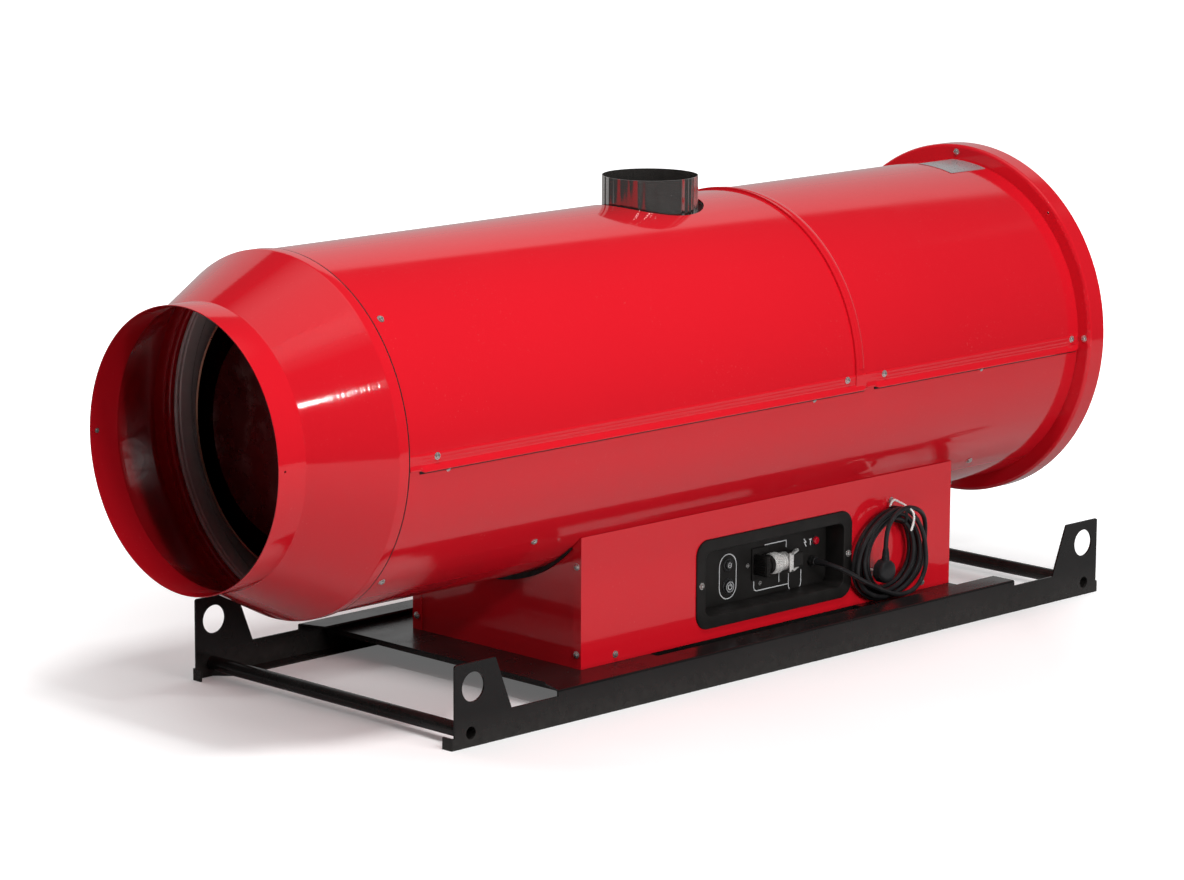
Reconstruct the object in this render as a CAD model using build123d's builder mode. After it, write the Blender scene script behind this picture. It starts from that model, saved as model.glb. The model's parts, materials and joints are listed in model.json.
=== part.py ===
from build123d import *
import os
from math import asin, cos, degrees, pi, radians, sin, sqrt

# Suspended indirect diesel air heater, in millimetres.
# +X runs along the casing from the warm air outlet to the fan, +Z is up, and the control side is -Y.
# The origin is the bottom centre of the heater's outer box.

# Sheet metal and fits
SHEET = 1.5
FIT = 0.3
RUN_FIT = 0.05
OVERRUN = 5

# Casing along the axis, from the outlet rim to the fan end
SPIGOT_LENGTH = 50
CONE_LENGTH = 120
BAND_LENGTH = 20
FRONT_COVER_LENGTH = 940
REAR_COVER_LENGTH = 547
RING_DEPTH = 36

# Casing across the axis
AXIS_HEIGHT = 430
SHELL_RADIUS = 268.4
SPIGOT_RADIUS = 209
BAND_RADIUS = 271
RING_FLANGE = 25
SLEEVE_LENGTH = 30
RING_FOLD = 6
RING_HOLE_RADIUS = 2.2
RING_HOLE_ANGLE = 135
LIP_DROP = 16
LIP_STEP_LOW = 2
LIP_STEP_HIGH = 4.5
JOINT_WIDTH = 14
JOINT_LIP_EXTRA = 8
SPIGOT_HOLE_INSET = 12
SPIGOT_HOLE_RADIUS = 1.9
PLATE_INSET = 92
PLATE_LENGTH = 86
PLATE_WIDTH = 72
PLATE_SHEET = 0.8
PLATE_GAP = 0.1
PLATE_TURN = 97

# Flue
FLUE_INSET = 110.5
FLUE_RADIUS = 75
FLUE_SHEET = 1.2
FLUE_TOP = 739.4
FLUE_HOLE_RADIUS = 84
NECK_HEIGHT = 12
NECK_BORE_RADIUS = 68

# Heat exchanger, placed from the seam between cone and covers
LINER_START = 14
LINER_LENGTH = 880
LINER_SHEET = 1
DRUM_START = 15
DRUM_LENGTH = 850
DRUM_RADIUS = 211
DRUM_SHEET = 2
DRUM_HEADER_RECESS = 9
CHAMBER_RADIUS = 166
CHAMBER_SHEET = 2.5
DISC_START = 4
DISC_DEPTH = 14
DISC_CROWN = 3
SMOKE_PORT_RADIUS = 26
SMOKE_PORT_STATION = 78
FOOT_WIDTH = 60
FOOT_THICKNESS = 4
FOOT_INSET = 105
FOOT_ANGLES = (235, 305)

# Burner
BLAST_TUBE_RADIUS = 50
BLAST_TUBE_SHEET = 2
BLAST_TUBE_REACH = 120
BLAST_TUBE_TAIL = 30
FLANGE_RADIUS = 84
FLANGE_THICKNESS = 8
FLANGE_BOLT_REACH = 68
FLANGE_BOLT_RADIUS = 4
SCROLL_RADIUS = 88
SCROLL_WIDTH = 112
SCROLL_WALL = 3
NECK_LENGTH = 36
IMPELLER_RADIUS = 64
IMPELLER_WIDTH = 72
IMPELLER_BLADES = 24
IMPELLER_BLADE_DEPTH = 10
IMPELLER_BLADE_SHEET = 1.4
IMPELLER_HUB_RADIUS = 13
BURNER_SHAFT_RADIUS = 6
BURNER_MOTOR_RADIUS = 46
BURNER_MOTOR_LENGTH = 104
BURNER_MOTOR_BORE_DEPTH = 40
PUMP_WIDTH = 54
PUMP_DEPTH = 46
PUMP_HEIGHT = 58
PUMP_BORE_DEPTH = 22
NOZZLE_ROD_RADIUS = 5
NOZZLE_RADIUS = 9
NOZZLE_LENGTH = 28
DIFFUSER_THICKNESS = 2
ELECTRODE_RADIUS = 1.5
CERAMIC_RADIUS = 4.5
ELECTRODE_SPACING = 14
TRANSFORMER_LENGTH = 96
TRANSFORMER_WIDTH = 62
TRANSFORMER_HEIGHT = 44
PIPE_RADIUS = 3
PIPE_BEND_RADIUS = 9

# Fan
FAN_STATION = 1290
FAN_TIP_RADIUS = 235
FAN_BLADES = 6
FAN_BLADE_SHEET = 2.5
FAN_ROOT_CHORD = 66
FAN_TIP_CHORD = 104
FAN_ROOT_PITCH = 44
FAN_TIP_PITCH = 24
FAN_HUB_RADIUS = 52
FAN_HUB_LENGTH = 54
FAN_HUB_WALL = 4
FAN_SHAFT_RADIUS = 9
FAN_MOTOR_RADIUS = 64
FAN_MOTOR_LENGTH = 128
FAN_MOTOR_GAP = 12
FAN_MOTOR_BORE_DEPTH = 50
MOTOR_FIN_COUNT = 24
MOTOR_FIN_DEPTH = 3
MOTOR_FIN_WIDTH = 2.4
BRACKET_WIDTH = 34
BRACKET_ARM_WIDTH = 30
BRACKET_ARM_SHEET = 3
BRACKET_CLAMP_SHEET = 3
GUARD_WIRE_RADIUS = 2
GUARD_BAR_WIDTH = 5
GUARD_BAR_THICKNESS = 3
GUARD_WELD = 0.6
GUARD_RINGS = 9
GUARD_FIRST_RING_RADIUS = 62
GUARD_SPOKES = 8
GUARD_LEG_RADIUS = 6
GUARD_INSET = 8

# Control box under the casing, from the seam
BOX_START = 413
BOX_LENGTH = 845.5
BOX_BOTTOM = 42.4
BOX_FRONT_DEPTH = 196.4
BOX_BACK_DEPTH = 174.8
BOX_RETURN = 18.6
SADDLE_GAP = 9.3
SEAL_WIDTH = 12
CABLE_HOLE_RADIUS = 26
CABLE_HOLE_STATION = 627
CONTROL_UNIT_LENGTH = 92
CONTROL_UNIT_WIDTH = 60
CONTROL_UNIT_HEIGHT = 58
CONTROL_UNIT_STATION = 200

# Control tray in the box's front panel
TRAY_STATION = 426
TRAY_CENTRE_HEIGHT = 130.5
TRAY_LENGTH = 356
TRAY_HEIGHT = 141
TRAY_CORNER = 25
TRAY_BORDER = 19.5
TRAY_FACE = 3
TRAY_WALL = 2.2
TRAY_DEPTH = 34
TRAY_DRAFT = 4
TRAY_POCKET_CORNER = 13
TRAY_EDGE_ROUND = 1.8

# Controls on the tray's floor, as offsets from the tray's centre
RESET_SHIFT = -71.5
RESET_RISE = 12.8
RESET_RADIUS = 7
POWER_SHIFT = -70.5
POWER_RISE = -22
POWER_RADIUS = 10
BUTTON_PROUD = 5
BUTTON_TAIL = 9
BUTTON_FLANGE = 1.6
BUTTON_ROUND = 1.2
LAMP_SHIFT = 130
LAMP_RISE = 21.3
LAMP_RADIUS = 6.5
LAMP_PROUD = 5
GLAND_SHIFT = 121
GLAND_RISE = -10
GLAND_RADIUS = 9
GLAND_LENGTH = 12
GLAND_NUT_LENGTH = 6
SIDE_SCREW_SHIFT = -26
SIDE_SCREW_RISE = 4
LOW_SCREW_SHIFT = 3
LOW_SCREW_RISE = -28.5
SOCKET_SHIFT = 4
SOCKET_RISE = 4.5
SOCKET_LENGTH = 38
SOCKET_HEIGHT = 45
SOCKET_DEPTH = 33
SOCKET_WALL = 3
PLUG_SHELL_RADIUS = 14.5
PLUG_SHELL_LENGTH = 22
PLUG_RIBS = 4
PLUG_RIB_DEPTH = 1.2
PLUG_TENON_RADIUS = 11
PLUG_TENON_LENGTH = 18
PLUG_BLOCK_LENGTH = 27
PLUG_BLOCK_HEIGHT = 24
PLUG_BLOCK_DEPTH = 22
LATCH_SHEET = 2.5
LATCH_ARM_WIDTH = 7
LATCH_PIN_RADIUS = 2.2
LATCH_PIN_LENGTH = 2
LATCH_EYE_RADIUS = 4.6

# Mounting frame
RAIL_LENGTH = 1457.4
RAIL_OVERHANG = 2.5
RAIL_SIDE_GAP = 92.3
RAIL_SHEET = 3
RAIL_WEB_HEIGHT = 43.5
RAIL_FLANGE_HEIGHT = 52.9
RAIL_FLANGE_DEPTH = 45
RAIL_FLANGE_START = 207.4
RAIL_FLANGE_LENGTH = 1038.9
RAIL_FLANGE_CHAMFER = 16
RAIL_FOOT_DEPTH = 29.7
RAIL_FOLD = 3.5
EAR_HEIGHT = 125
EAR_TOP_WIDTH = 80.8
EAR_BASE_WIDTH = 112.9
EAR_HOLE_RADIUS = 22
EAR_HOLE_INSET = 36.2
EAR_HOLE_HEIGHT = 88.6
EAR_CORNER = 4
TUBE_RADIUS = 11.1
TUBE_BORE_RADIUS = 9.5
TUBE_INSET = 31.8
TUBE_HEIGHT = 20.9
TAB_HEIGHT = 18
TAB_DEPTH = 20
TAB_STEP = 6
SHELF_SHEET = 3
SHELF_FOLD = 9
FRONT_SHELF_START = 323.9
FRONT_SHELF_LENGTH = 236
REAR_SHELF_LENGTH = 230

# Fasteners
SCREW_FLANGE_RADIUS = 5.6
SCREW_FLANGE_HEIGHT = 1
SCREW_HEAD_RADIUS = 4
SCREW_HEAD_HEIGHT = 3
SCREW_SHANK_RADIUS = 2
SCREW_SHANK_LENGTH = 8
SMALL_SCREW_SCALE = 0.65
COVER_SCREW_INSET = 52
JOINT_SCREW_INSET = 21
REAR_SCREW_INSET = 65
RING_END_SCREW_INSET = 19
SHELL_SCREW_INSET = 76
SHELL_SCREW_JOINT_INSET = 93.5
SHELL_SCREW_END_INSET = 243
SHELL_SCREW_DROP = 22.5
LOWER_SCREW_BOX_GAP = 107
LOWER_SCREW_FAN_GAP = 56.5
LOWER_SCREW_ANGLE = 220
LOWER_SCREW_FAN_ANGLE = 226
SEAM_SCREW_INSET = 18
RING_SCREW_INSET = 12.4
BOX_SCREW_INSET = 73
BOX_SCREW_FAN_INSET = 68
BOX_SCREW_RISE = 12
END_SCREW_RISES = (22, 157)
BOLT_RADIUS = 4
BOLT_HEAD_RADIUS = 7.5
BOLT_HEAD_HEIGHT = 5
BOLT_INSET = 40

# Mains cord: a lead, a hanging coil, a tail and its plug
CORD_DIAMETER = 7.5
COIL_CENTRE_STATION = 1091
COIL_BACK_GAP = 11
COIL_LAYER_STEP = 8.6
COIL_BOTTOM = 47
COIL_TOP = 199
COIL_PITCH = 4.4
COIL_HALF_WIDTH = 98
COIL_SIDE_PITCH = 10
COIL_WIDEST = 100
COIL_WIDEST_RISE = 4
COIL_LEAN = 10
COIL_HALF_TURNS = 10
COIL_ENTRY_SHIFT = 34
COIL_ENTRY_RISE = 5
COIL_ENTRY_DRAW = 12
CORD_PLUG_SHIFT = 29
CORD_PLUG_HEIGHT = 98
CORD_PLUG_RADIUS = 19
CORD_PLUG_DEPTH = 21
CORD_PLUG_NECK_RADIUS = 6.5
CORD_PLUG_NECK_LENGTH = 18
CORD_PIN_RADIUS = 2.4
CORD_PIN_LENGTH = 17
CORD_PIN_SPACING = 19
TIE_WIRE_RADIUS = 1.3
TIE_CLEARANCE = 2.2
HOOK_RISE = 158.5
HOOK_OFFSET = 11
BEND_SHARE = 0.45
GAP_SAMPLES = 1200

# Stations along X
CASING_LENGTH = (SPIGOT_LENGTH + CONE_LENGTH + BAND_LENGTH
                 + FRONT_COVER_LENGTH + REAR_COVER_LENGTH + RING_DEPTH)
OVERALL_LENGTH = CASING_LENGTH + RAIL_OVERHANG + TAB_STEP
x_rim = -OVERALL_LENGTH / 2
x_spigot = x_rim + SPIGOT_LENGTH
x_cone = x_spigot + CONE_LENGTH
x_seam = x_cone + BAND_LENGTH
x_joint = x_seam + FRONT_COVER_LENGTH
x_ring = x_joint + REAR_COVER_LENGTH
x_lip = x_ring + RING_DEPTH
x_drum = x_seam + DRUM_START
x_drum_end = x_drum + DRUM_LENGTH
x_flue = x_drum_end - FLUE_INSET

# Radii and planes shared by several pieces
shell_inner = SHELL_RADIUS - SHEET
ring_radius = SHELL_RADIUS + RING_FLANGE
ring_screw_radius = ring_radius - RING_SCREW_INSET
rail_half_width = BOX_FRONT_DEPTH + RAIL_SIDE_GAP
sleeve_radius = shell_inner - FIT
lip_inner = SHELL_RADIUS + FIT
lip_outer = lip_inner + SHEET
pad_inner = lip_outer + FIT
pad_outer = pad_inner + SHEET
shell_axis = Axis((0, 0, AXIS_HEIGHT), (1, 0, 0))
profile_plane = Plane(origin=(0, 0, AXIS_HEIGHT), x_dir=(1, 0, 0), z_dir=(0, -1, 0))

pieces = {}


def keep(name, piece):
    """File a finished piece under its node name."""
    pieces[name] = piece


def across(x):
    """Plane across the casing at station x: local x is +Y, local y is +Z, centred on the shell axis."""
    return Plane(origin=(x, 0, AXIS_HEIGHT), x_dir=(0, 1, 0), z_dir=(1, 0, 0))


def outward(x, angle, radius):
    """Plane on a cylinder about the shell axis, its z axis pointing out. Angle runs from +Y to +Z."""
    normal = Vector(0, cos(radians(angle)), sin(radians(angle)))
    return Plane(origin=Vector(x, 0, AXIS_HEIGHT) + normal * radius, x_dir=(1, 0, 0), z_dir=normal)


def spun(points):
    """Revolve a closed profile, given as (x, radius) points, about the shell axis."""
    with BuildSketch(profile_plane) as profile:
        with BuildLine():
            Polyline(*points, close=True)
        make_face()
    revolve(profile.sketch, axis=shell_axis)


def ring_sector(inner, outer, start, sweep):
    """Annular sector about the sketch's origin, for the shell's bent sheets."""
    with BuildLine() as outline:
        outside = CenterArc((0, 0), outer, start, sweep)
        inside = CenterArc((0, 0), inner, start, sweep)
        Line(outside @ 0, inside @ 0)
        Line(outside @ 1, inside @ 1)
    make_face(outline.edges())


def rise_angle(height):
    """Angle on the shell of a point this far above the axis, negative below it."""
    return degrees(asin(height / SHELL_RADIUS))


def tube_x(x, length, outer, inner):
    """Straight tube about the shell axis."""
    with BuildSketch(across(x)) as section:
        Circle(outer)
        Circle(inner, mode=Mode.SUBTRACT)
    extrude(section.sketch, amount=length)


def drill(planes, radius, depth):
    """Round holes into the part under way, each down the z axis of its plane."""
    for plane in planes:
        with BuildSketch(plane.offset(OVERRUN)) as hole:
            Circle(radius)
        extrude(hole.sketch, amount=-(depth + OVERRUN), mode=Mode.SUBTRACT)


def screw_body(scale, shank):
    """Pan head screw with a pressed-on washer, standing on the XY plane with its shank below."""
    with BuildPart() as screw:
        with BuildSketch(Plane.XY):
            Circle(SCREW_FLANGE_RADIUS * scale)
        extrude(amount=SCREW_FLANGE_HEIGHT * scale)
        with BuildSketch(Plane.XY.offset(SCREW_FLANGE_HEIGHT * scale)):
            Circle(SCREW_HEAD_RADIUS * scale)
        extrude(amount=SCREW_HEAD_HEIGHT * scale)
        top = screw.faces().sort_by(Axis.Z)[-1]
        fillet(top.edges(), SCREW_HEAD_HEIGHT * scale / 2)
        with BuildSketch(Plane.XY):
            Circle(SCREW_SHANK_RADIUS * scale)
        extrude(amount=-shank)
    return screw.part


screw = screw_body(1, SCREW_SHANK_LENGTH)
small_screw = screw_body(SMALL_SCREW_SCALE, SCREW_SHANK_LENGTH * SMALL_SCREW_SCALE)
rivet = screw_body(SMALL_SCREW_SCALE, SHEET)
screw_hole = SCREW_SHANK_RADIUS + FIT
small_screw_hole = SCREW_SHANK_RADIUS * SMALL_SCREW_SCALE + FIT

# Fastener places
x_box = x_seam + BOX_START
x_box_end = x_box + BOX_LENGTH
cover_screw_xs = (
    x_seam + COVER_SCREW_INSET,
    x_joint - JOINT_SCREW_INSET,
    x_joint + REAR_SCREW_INSET,
    x_ring - RING_END_SCREW_INSET,
)
cover_screw_planes = [outward(x, angle, lip_outer) for x in cover_screw_xs for angle in (0, 180)]
shell_screw_xs = (
    x_seam + SHELL_SCREW_INSET,
    x_joint - SHELL_SCREW_JOINT_INSET,
    x_ring - SHELL_SCREW_END_INSET,
)
shell_screw_angle = rise_angle(-SHELL_SCREW_DROP)
shell_screw_planes = [
    outward(x, angle, SHELL_RADIUS)
    for x in shell_screw_xs
    for angle in (shell_screw_angle, 180 - shell_screw_angle)
]
lower_screw_planes = [
    outward(x, side_angle, SHELL_RADIUS)
    for x, angle in (
        (x_box - LOWER_SCREW_BOX_GAP, LOWER_SCREW_ANGLE),
        (x_box_end + LOWER_SCREW_FAN_GAP, LOWER_SCREW_FAN_ANGLE),
    )
    for side_angle in (angle, 540 - angle)
]
seam_screw_planes = [outward(x_seam + SEAM_SCREW_INSET, a, SHELL_RADIUS) for a in (45, 135, 225, 315)]


def ring_place(angle):
    """Place on the rear ring's annulus, on the circle of its screws."""
    y = ring_screw_radius * cos(radians(angle))
    z = AXIS_HEIGHT + ring_screw_radius * sin(radians(angle))
    return Plane(origin=(x_ring, y, z), x_dir=(0, 1, 0), z_dir=(-1, 0, 0))


ring_screw_planes = [ring_place(angle) for angle in (0, 90, 180, 270)]
spigot_rivet_y = SPIGOT_RADIUS - SHEET - FIT
spigot_screw_plane = Plane(
    origin=(x_rim + SPIGOT_HOLE_INSET, spigot_rivet_y, AXIS_HEIGHT),
    x_dir=(1, 0, 0),
    z_dir=(0, -1, 0),
)

# Outlet cone: duct spigot, cone, raised band and an inner sleeve that the covers are screwed to
with BuildPart() as outlet_cone:
    spun([
        (x_rim, SPIGOT_RADIUS),
        (x_spigot, SPIGOT_RADIUS),
        (x_cone, BAND_RADIUS),
        (x_seam, BAND_RADIUS),
        (x_seam, sleeve_radius),
        (x_seam + SLEEVE_LENGTH, sleeve_radius),
        (x_seam + SLEEVE_LENGTH, sleeve_radius - SHEET),
        (x_seam - SHEET, sleeve_radius - SHEET),
        (x_seam - SHEET, BAND_RADIUS - SHEET),
        (x_cone, BAND_RADIUS - SHEET),
        (x_spigot, SPIGOT_RADIUS - SHEET),
        (x_rim, SPIGOT_RADIUS - SHEET),
    ])
    drill(seam_screw_planes, screw_hole, SCREW_SHANK_LENGTH + FIT)
    drill([spigot_screw_plane], small_screw_hole, SCREW_SHANK_LENGTH)
    drill([outward(x_rim + SPIGOT_HOLE_INSET, 180, SPIGOT_RADIUS)], SPIGOT_HOLE_RADIUS, 2 * SHEET)
keep("outlet_cone", outlet_cone)

step_low = rise_angle(LIP_STEP_LOW)
step_high = rise_angle(LIP_STEP_HIGH)
lip_low = rise_angle(-LIP_DROP)


def cover_section():
    """Cross section of an upper cover: the half round and its two joggled side lips."""
    ring_sector(shell_inner, SHELL_RADIUS, step_low, 180 - 2 * step_low)
    for lip_start, step_start in ((lip_low, step_low), (180 - step_high, 180 - step_high)):
        ring_sector(lip_inner, lip_outer, lip_start, step_high - lip_low)
        ring_sector(shell_inner, lip_outer, step_start, step_high - step_low)


# Front cover: its rear edge is joggled out over the rear cover, which shows as a raised band
with BuildPart() as front_cover:
    with BuildSketch(across(x_seam)):
        cover_section()
    extrude(amount=FRONT_COVER_LENGTH)
    with BuildSketch(across(x_joint - SHEET)):
        ring_sector(shell_inner, pad_outer, step_high, 180 - 2 * step_high)
    extrude(amount=SHEET)
    with BuildSketch(across(x_joint - SHEET)):
        ring_sector(lip_inner, lip_outer, step_high, 180 - 2 * step_high)
    extrude(amount=SHEET + JOINT_WIDTH)
    for pad_start in (lip_low, 180 - step_high):
        with BuildSketch(across(x_joint - SHEET)):
            ring_sector(lip_inner, pad_outer, pad_start, step_high - lip_low)
        extrude(amount=SHEET)
        with BuildSketch(across(x_joint - SHEET)):
            ring_sector(pad_inner, pad_outer, pad_start, step_high - lip_low)
        extrude(amount=SHEET + JOINT_WIDTH + JOINT_LIP_EXTRA)
    with BuildSketch(Plane.XY.offset(AXIS_HEIGHT)):
        with Locations((x_flue, 0)):
            Circle(FLUE_HOLE_RADIUS)
    extrude(amount=SHELL_RADIUS + OVERRUN, mode=Mode.SUBTRACT)
    drill(cover_screw_planes[:4] + seam_screw_planes[:2], screw_hole, SCREW_SHANK_LENGTH)
keep("front_cover", front_cover)

# Rear cover, with the bare plate's place on its crown
with BuildPart() as rear_cover:
    with BuildSketch(across(x_joint + FIT)):
        cover_section()
    extrude(amount=REAR_COVER_LENGTH - FIT)
    drill(cover_screw_planes[4:], screw_hole, SCREW_SHANK_LENGTH)
keep("rear_cover", rear_cover)

# Lower shell: the lower half of the casing, closed above by the two covers
with BuildPart() as lower_shell:
    with BuildSketch(across(x_seam)):
        ring_sector(shell_inner, SHELL_RADIUS, 180, 180)
    extrude(amount=FRONT_COVER_LENGTH + REAR_COVER_LENGTH)
    with BuildSketch(Plane.XY.offset(AXIS_HEIGHT - shell_inner / 2)):
        with Locations((x_seam + BOX_START + CABLE_HOLE_STATION, 0)):
            Circle(CABLE_HOLE_RADIUS)
    extrude(amount=-SHELL_RADIUS, mode=Mode.SUBTRACT)
    drill(cover_screw_planes + seam_screw_planes[2:] + lower_screw_planes, screw_hole, SCREW_SHANK_LENGTH)
    drill(shell_screw_planes, small_screw_hole, SCREW_SHANK_LENGTH)
keep("lower_shell", lower_shell)

# Rear ring: inner sleeve, flat annulus and outer lip round the fan inlet
with BuildPart() as rear_ring:
    spun([
        (x_ring - SLEEVE_LENGTH, sleeve_radius),
        (x_ring, sleeve_radius),
        (x_ring, ring_radius),
        (x_lip, ring_radius),
        (x_lip, ring_radius - SHEET),
        (x_ring + SHEET, ring_radius - SHEET),
        (x_ring + SHEET, sleeve_radius - SHEET),
        (x_ring - SLEEVE_LENGTH, sleeve_radius - SHEET),
    ])
    folds = rear_ring.edges().filter_by(GeomType.CIRCLE)
    outer_fold = folds.filter_by(lambda e: abs(e.radius - ring_radius) < FIT).sort_by(Axis.X)[0]
    fillet(outer_fold, RING_FOLD)
    folds = rear_ring.edges().filter_by(GeomType.CIRCLE)
    inner_fold = folds.filter_by(lambda e: abs(e.radius - ring_radius + SHEET) < FIT).sort_by(Axis.X)[0]
    fillet(inner_fold, RING_FOLD - SHEET)
    drill(ring_screw_planes + cover_screw_planes[6:], screw_hole, SCREW_SHANK_LENGTH)
    hole_y = ring_screw_radius * cos(radians(RING_HOLE_ANGLE))
    hole_z = ring_screw_radius * sin(radians(RING_HOLE_ANGLE))
    with BuildSketch(across(x_ring - OVERRUN)):
        with Locations((hole_y, hole_z), (-hole_y, hole_z)):
            Circle(RING_HOLE_RADIUS)
    extrude(amount=SHEET + 2 * OVERRUN, mode=Mode.SUBTRACT)
keep("rear_ring", rear_ring)

# Bare data plate, bent to the crown of the rear cover
plate_angle = degrees(PLATE_WIDTH / SHELL_RADIUS)
plate_inner = SHELL_RADIUS + PLATE_GAP
with BuildPart() as blank_plate:
    with BuildSketch(across(x_ring - PLATE_INSET)):
        ring_sector(plate_inner, plate_inner + PLATE_SHEET, PLATE_TURN - plate_angle / 2, plate_angle)
    extrude(amount=PLATE_LENGTH)
keep("blank_plate", blank_plate)

# Fan guard: wire rings welded on flat bars, with four legs to the ring's annulus
x_guard = x_lip - GUARD_INSET
x_bars = x_guard - GUARD_WIRE_RADIUS + GUARD_WELD
guard_outer = ring_radius - SHEET - FIT - GUARD_WIRE_RADIUS
ring_pitch = (guard_outer - GUARD_FIRST_RING_RADIUS) / (GUARD_RINGS - 1)
with BuildPart() as fan_guard:
    with BuildSketch(across(x_bars)):
        with PolarLocations((GUARD_FIRST_RING_RADIUS + guard_outer) / 2, GUARD_SPOKES):
            Rectangle(guard_outer - GUARD_FIRST_RING_RADIUS + 2 * GUARD_WIRE_RADIUS, GUARD_BAR_WIDTH)
        Circle(GUARD_FIRST_RING_RADIUS)
        with PolarLocations(ring_screw_radius, len(ring_screw_planes)):
            Circle(GUARD_LEG_RADIUS)
    extrude(amount=-GUARD_BAR_THICKNESS)
    leg_plane = across(x_ring + SHEET)
    with BuildSketch(leg_plane):
        with PolarLocations(ring_screw_radius, len(ring_screw_planes)):
            Circle(GUARD_LEG_RADIUS)
    extrude(amount=x_bars - GUARD_BAR_THICKNESS - x_ring - SHEET)
    with BuildSketch(leg_plane):
        with PolarLocations(ring_screw_radius, len(ring_screw_planes)):
            Circle(screw_hole)
    extrude(amount=SCREW_SHANK_LENGTH, mode=Mode.SUBTRACT)
    weld_turn = Rotation(0, 0, 360 / GUARD_SPOKES / 4)
    for i in range(GUARD_RINGS):
        with Locations(across(x_guard) * weld_turn):
            Torus(GUARD_FIRST_RING_RADIUS + i * ring_pitch, GUARD_WIRE_RADIUS)
keep("fan_guard", fan_guard)

# Steel liner inside the casing, held by the cone's sleeve
liner_outer = sleeve_radius - SHEET - FIT
liner_inner = liner_outer - LINER_SHEET
with BuildPart() as inner_duct:
    tube_x(x_seam + LINER_START, LINER_LENGTH, liner_outer, liner_inner)
    with BuildSketch(Plane.XY.offset(AXIS_HEIGHT)):
        with Locations((x_flue, 0)):
            Circle(FLUE_HOLE_RADIUS)
    extrude(amount=SHELL_RADIUS, mode=Mode.SUBTRACT)
    liner_screw_planes = seam_screw_planes + cover_screw_planes[:4] + lower_screw_planes[:2]
    drill(liner_screw_planes, screw_hole, SCREW_SHANK_LENGTH)
    drill(shell_screw_planes[:4], small_screw_hole, SCREW_SHANK_LENGTH)
keep("inner_duct", inner_duct)

# Exchanger drum: the smoke jacket round the chamber, with its two header plates and the flue neck
header_bore = CHAMBER_RADIUS + FIT
drum_inner = DRUM_RADIUS - DRUM_SHEET
neck_top = AXIS_HEIGHT + DRUM_RADIUS + NECK_HEIGHT
with BuildPart() as exchanger_drum:
    with BuildSketch(across(x_drum)):
        Circle(DRUM_RADIUS)
    extrude(amount=DRUM_LENGTH)
    with BuildSketch(Plane.XY.offset(AXIS_HEIGHT + CHAMBER_RADIUS)):
        with Locations((x_flue, 0)):
            Circle(FLUE_RADIUS)
    extrude(amount=neck_top - AXIS_HEIGHT - CHAMBER_RADIUS)
    with BuildSketch(across(x_drum + DRUM_HEADER_RECESS + DRUM_SHEET)):
        Circle(drum_inner)
    extrude(amount=DRUM_LENGTH - DRUM_HEADER_RECESS - 2 * DRUM_SHEET, mode=Mode.SUBTRACT)
    with BuildSketch(across(x_drum - OVERRUN)):
        Circle(drum_inner)
    extrude(amount=DRUM_HEADER_RECESS + OVERRUN, mode=Mode.SUBTRACT)
    with BuildSketch(across(x_drum - OVERRUN)):
        Circle(header_bore)
    extrude(amount=DRUM_LENGTH + 2 * OVERRUN, mode=Mode.SUBTRACT)
    with BuildSketch(Plane.XY.offset(AXIS_HEIGHT + CHAMBER_RADIUS)):
        with Locations((x_flue, 0)):
            Circle(NECK_BORE_RADIUS)
    extrude(amount=SHELL_RADIUS, mode=Mode.SUBTRACT)
keep("exchanger_drum", exchanger_drum)

# Combustion chamber: a can closed in front by its dished disc
chamber_bore = CHAMBER_RADIUS - CHAMBER_SHEET
x_chamber = x_seam + DISC_START + DISC_DEPTH
burner_hole = BLAST_TUBE_RADIUS + FIT
with BuildPart() as combustion_chamber:
    spun([
        (x_chamber, CHAMBER_RADIUS),
        (x_drum_end, CHAMBER_RADIUS),
        (x_drum_end, burner_hole),
        (x_drum_end - CHAMBER_SHEET, burner_hole),
        (x_drum_end - CHAMBER_SHEET, chamber_bore),
        (x_chamber, chamber_bore),
    ])
    with BuildSketch(Plane.XY.offset(AXIS_HEIGHT)):
        with Locations((x_chamber + SMOKE_PORT_STATION, 0)):
            Circle(SMOKE_PORT_RADIUS)
    extrude(amount=-CHAMBER_RADIUS - OVERRUN, mode=Mode.SUBTRACT)
    with BuildSketch(across(x_drum_end)):
        with PolarLocations(FLANGE_BOLT_REACH, 4, start_angle=45):
            Circle(FLANGE_BOLT_RADIUS + FIT)
    extrude(amount=-CHAMBER_SHEET, mode=Mode.SUBTRACT)
keep("combustion_chamber", combustion_chamber)

# Chamber disc: the dark dished plate seen through the outlet
with BuildPart() as chamber_disc:
    x_disc = x_seam + DISC_START
    with BuildSketch(profile_plane):
        with BuildLine():
            crown = ThreePointArc(
                (x_disc - DISC_CROWN, 0),
                (x_disc - DISC_CROWN * 3 / 4, CHAMBER_RADIUS / 2),
                (x_disc, CHAMBER_RADIUS - DISC_CROWN),
            )
            Polyline(
                crown @ 1,
                (x_disc + DISC_CROWN, CHAMBER_RADIUS),
                (x_chamber, CHAMBER_RADIUS),
                (x_chamber, chamber_bore),
                (x_disc + CHAMBER_SHEET, chamber_bore),
                (x_disc + CHAMBER_SHEET, 0),
                crown @ 0,
            )
        make_face()
    revolve(axis=shell_axis)
keep("chamber_disc", chamber_disc)

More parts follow.
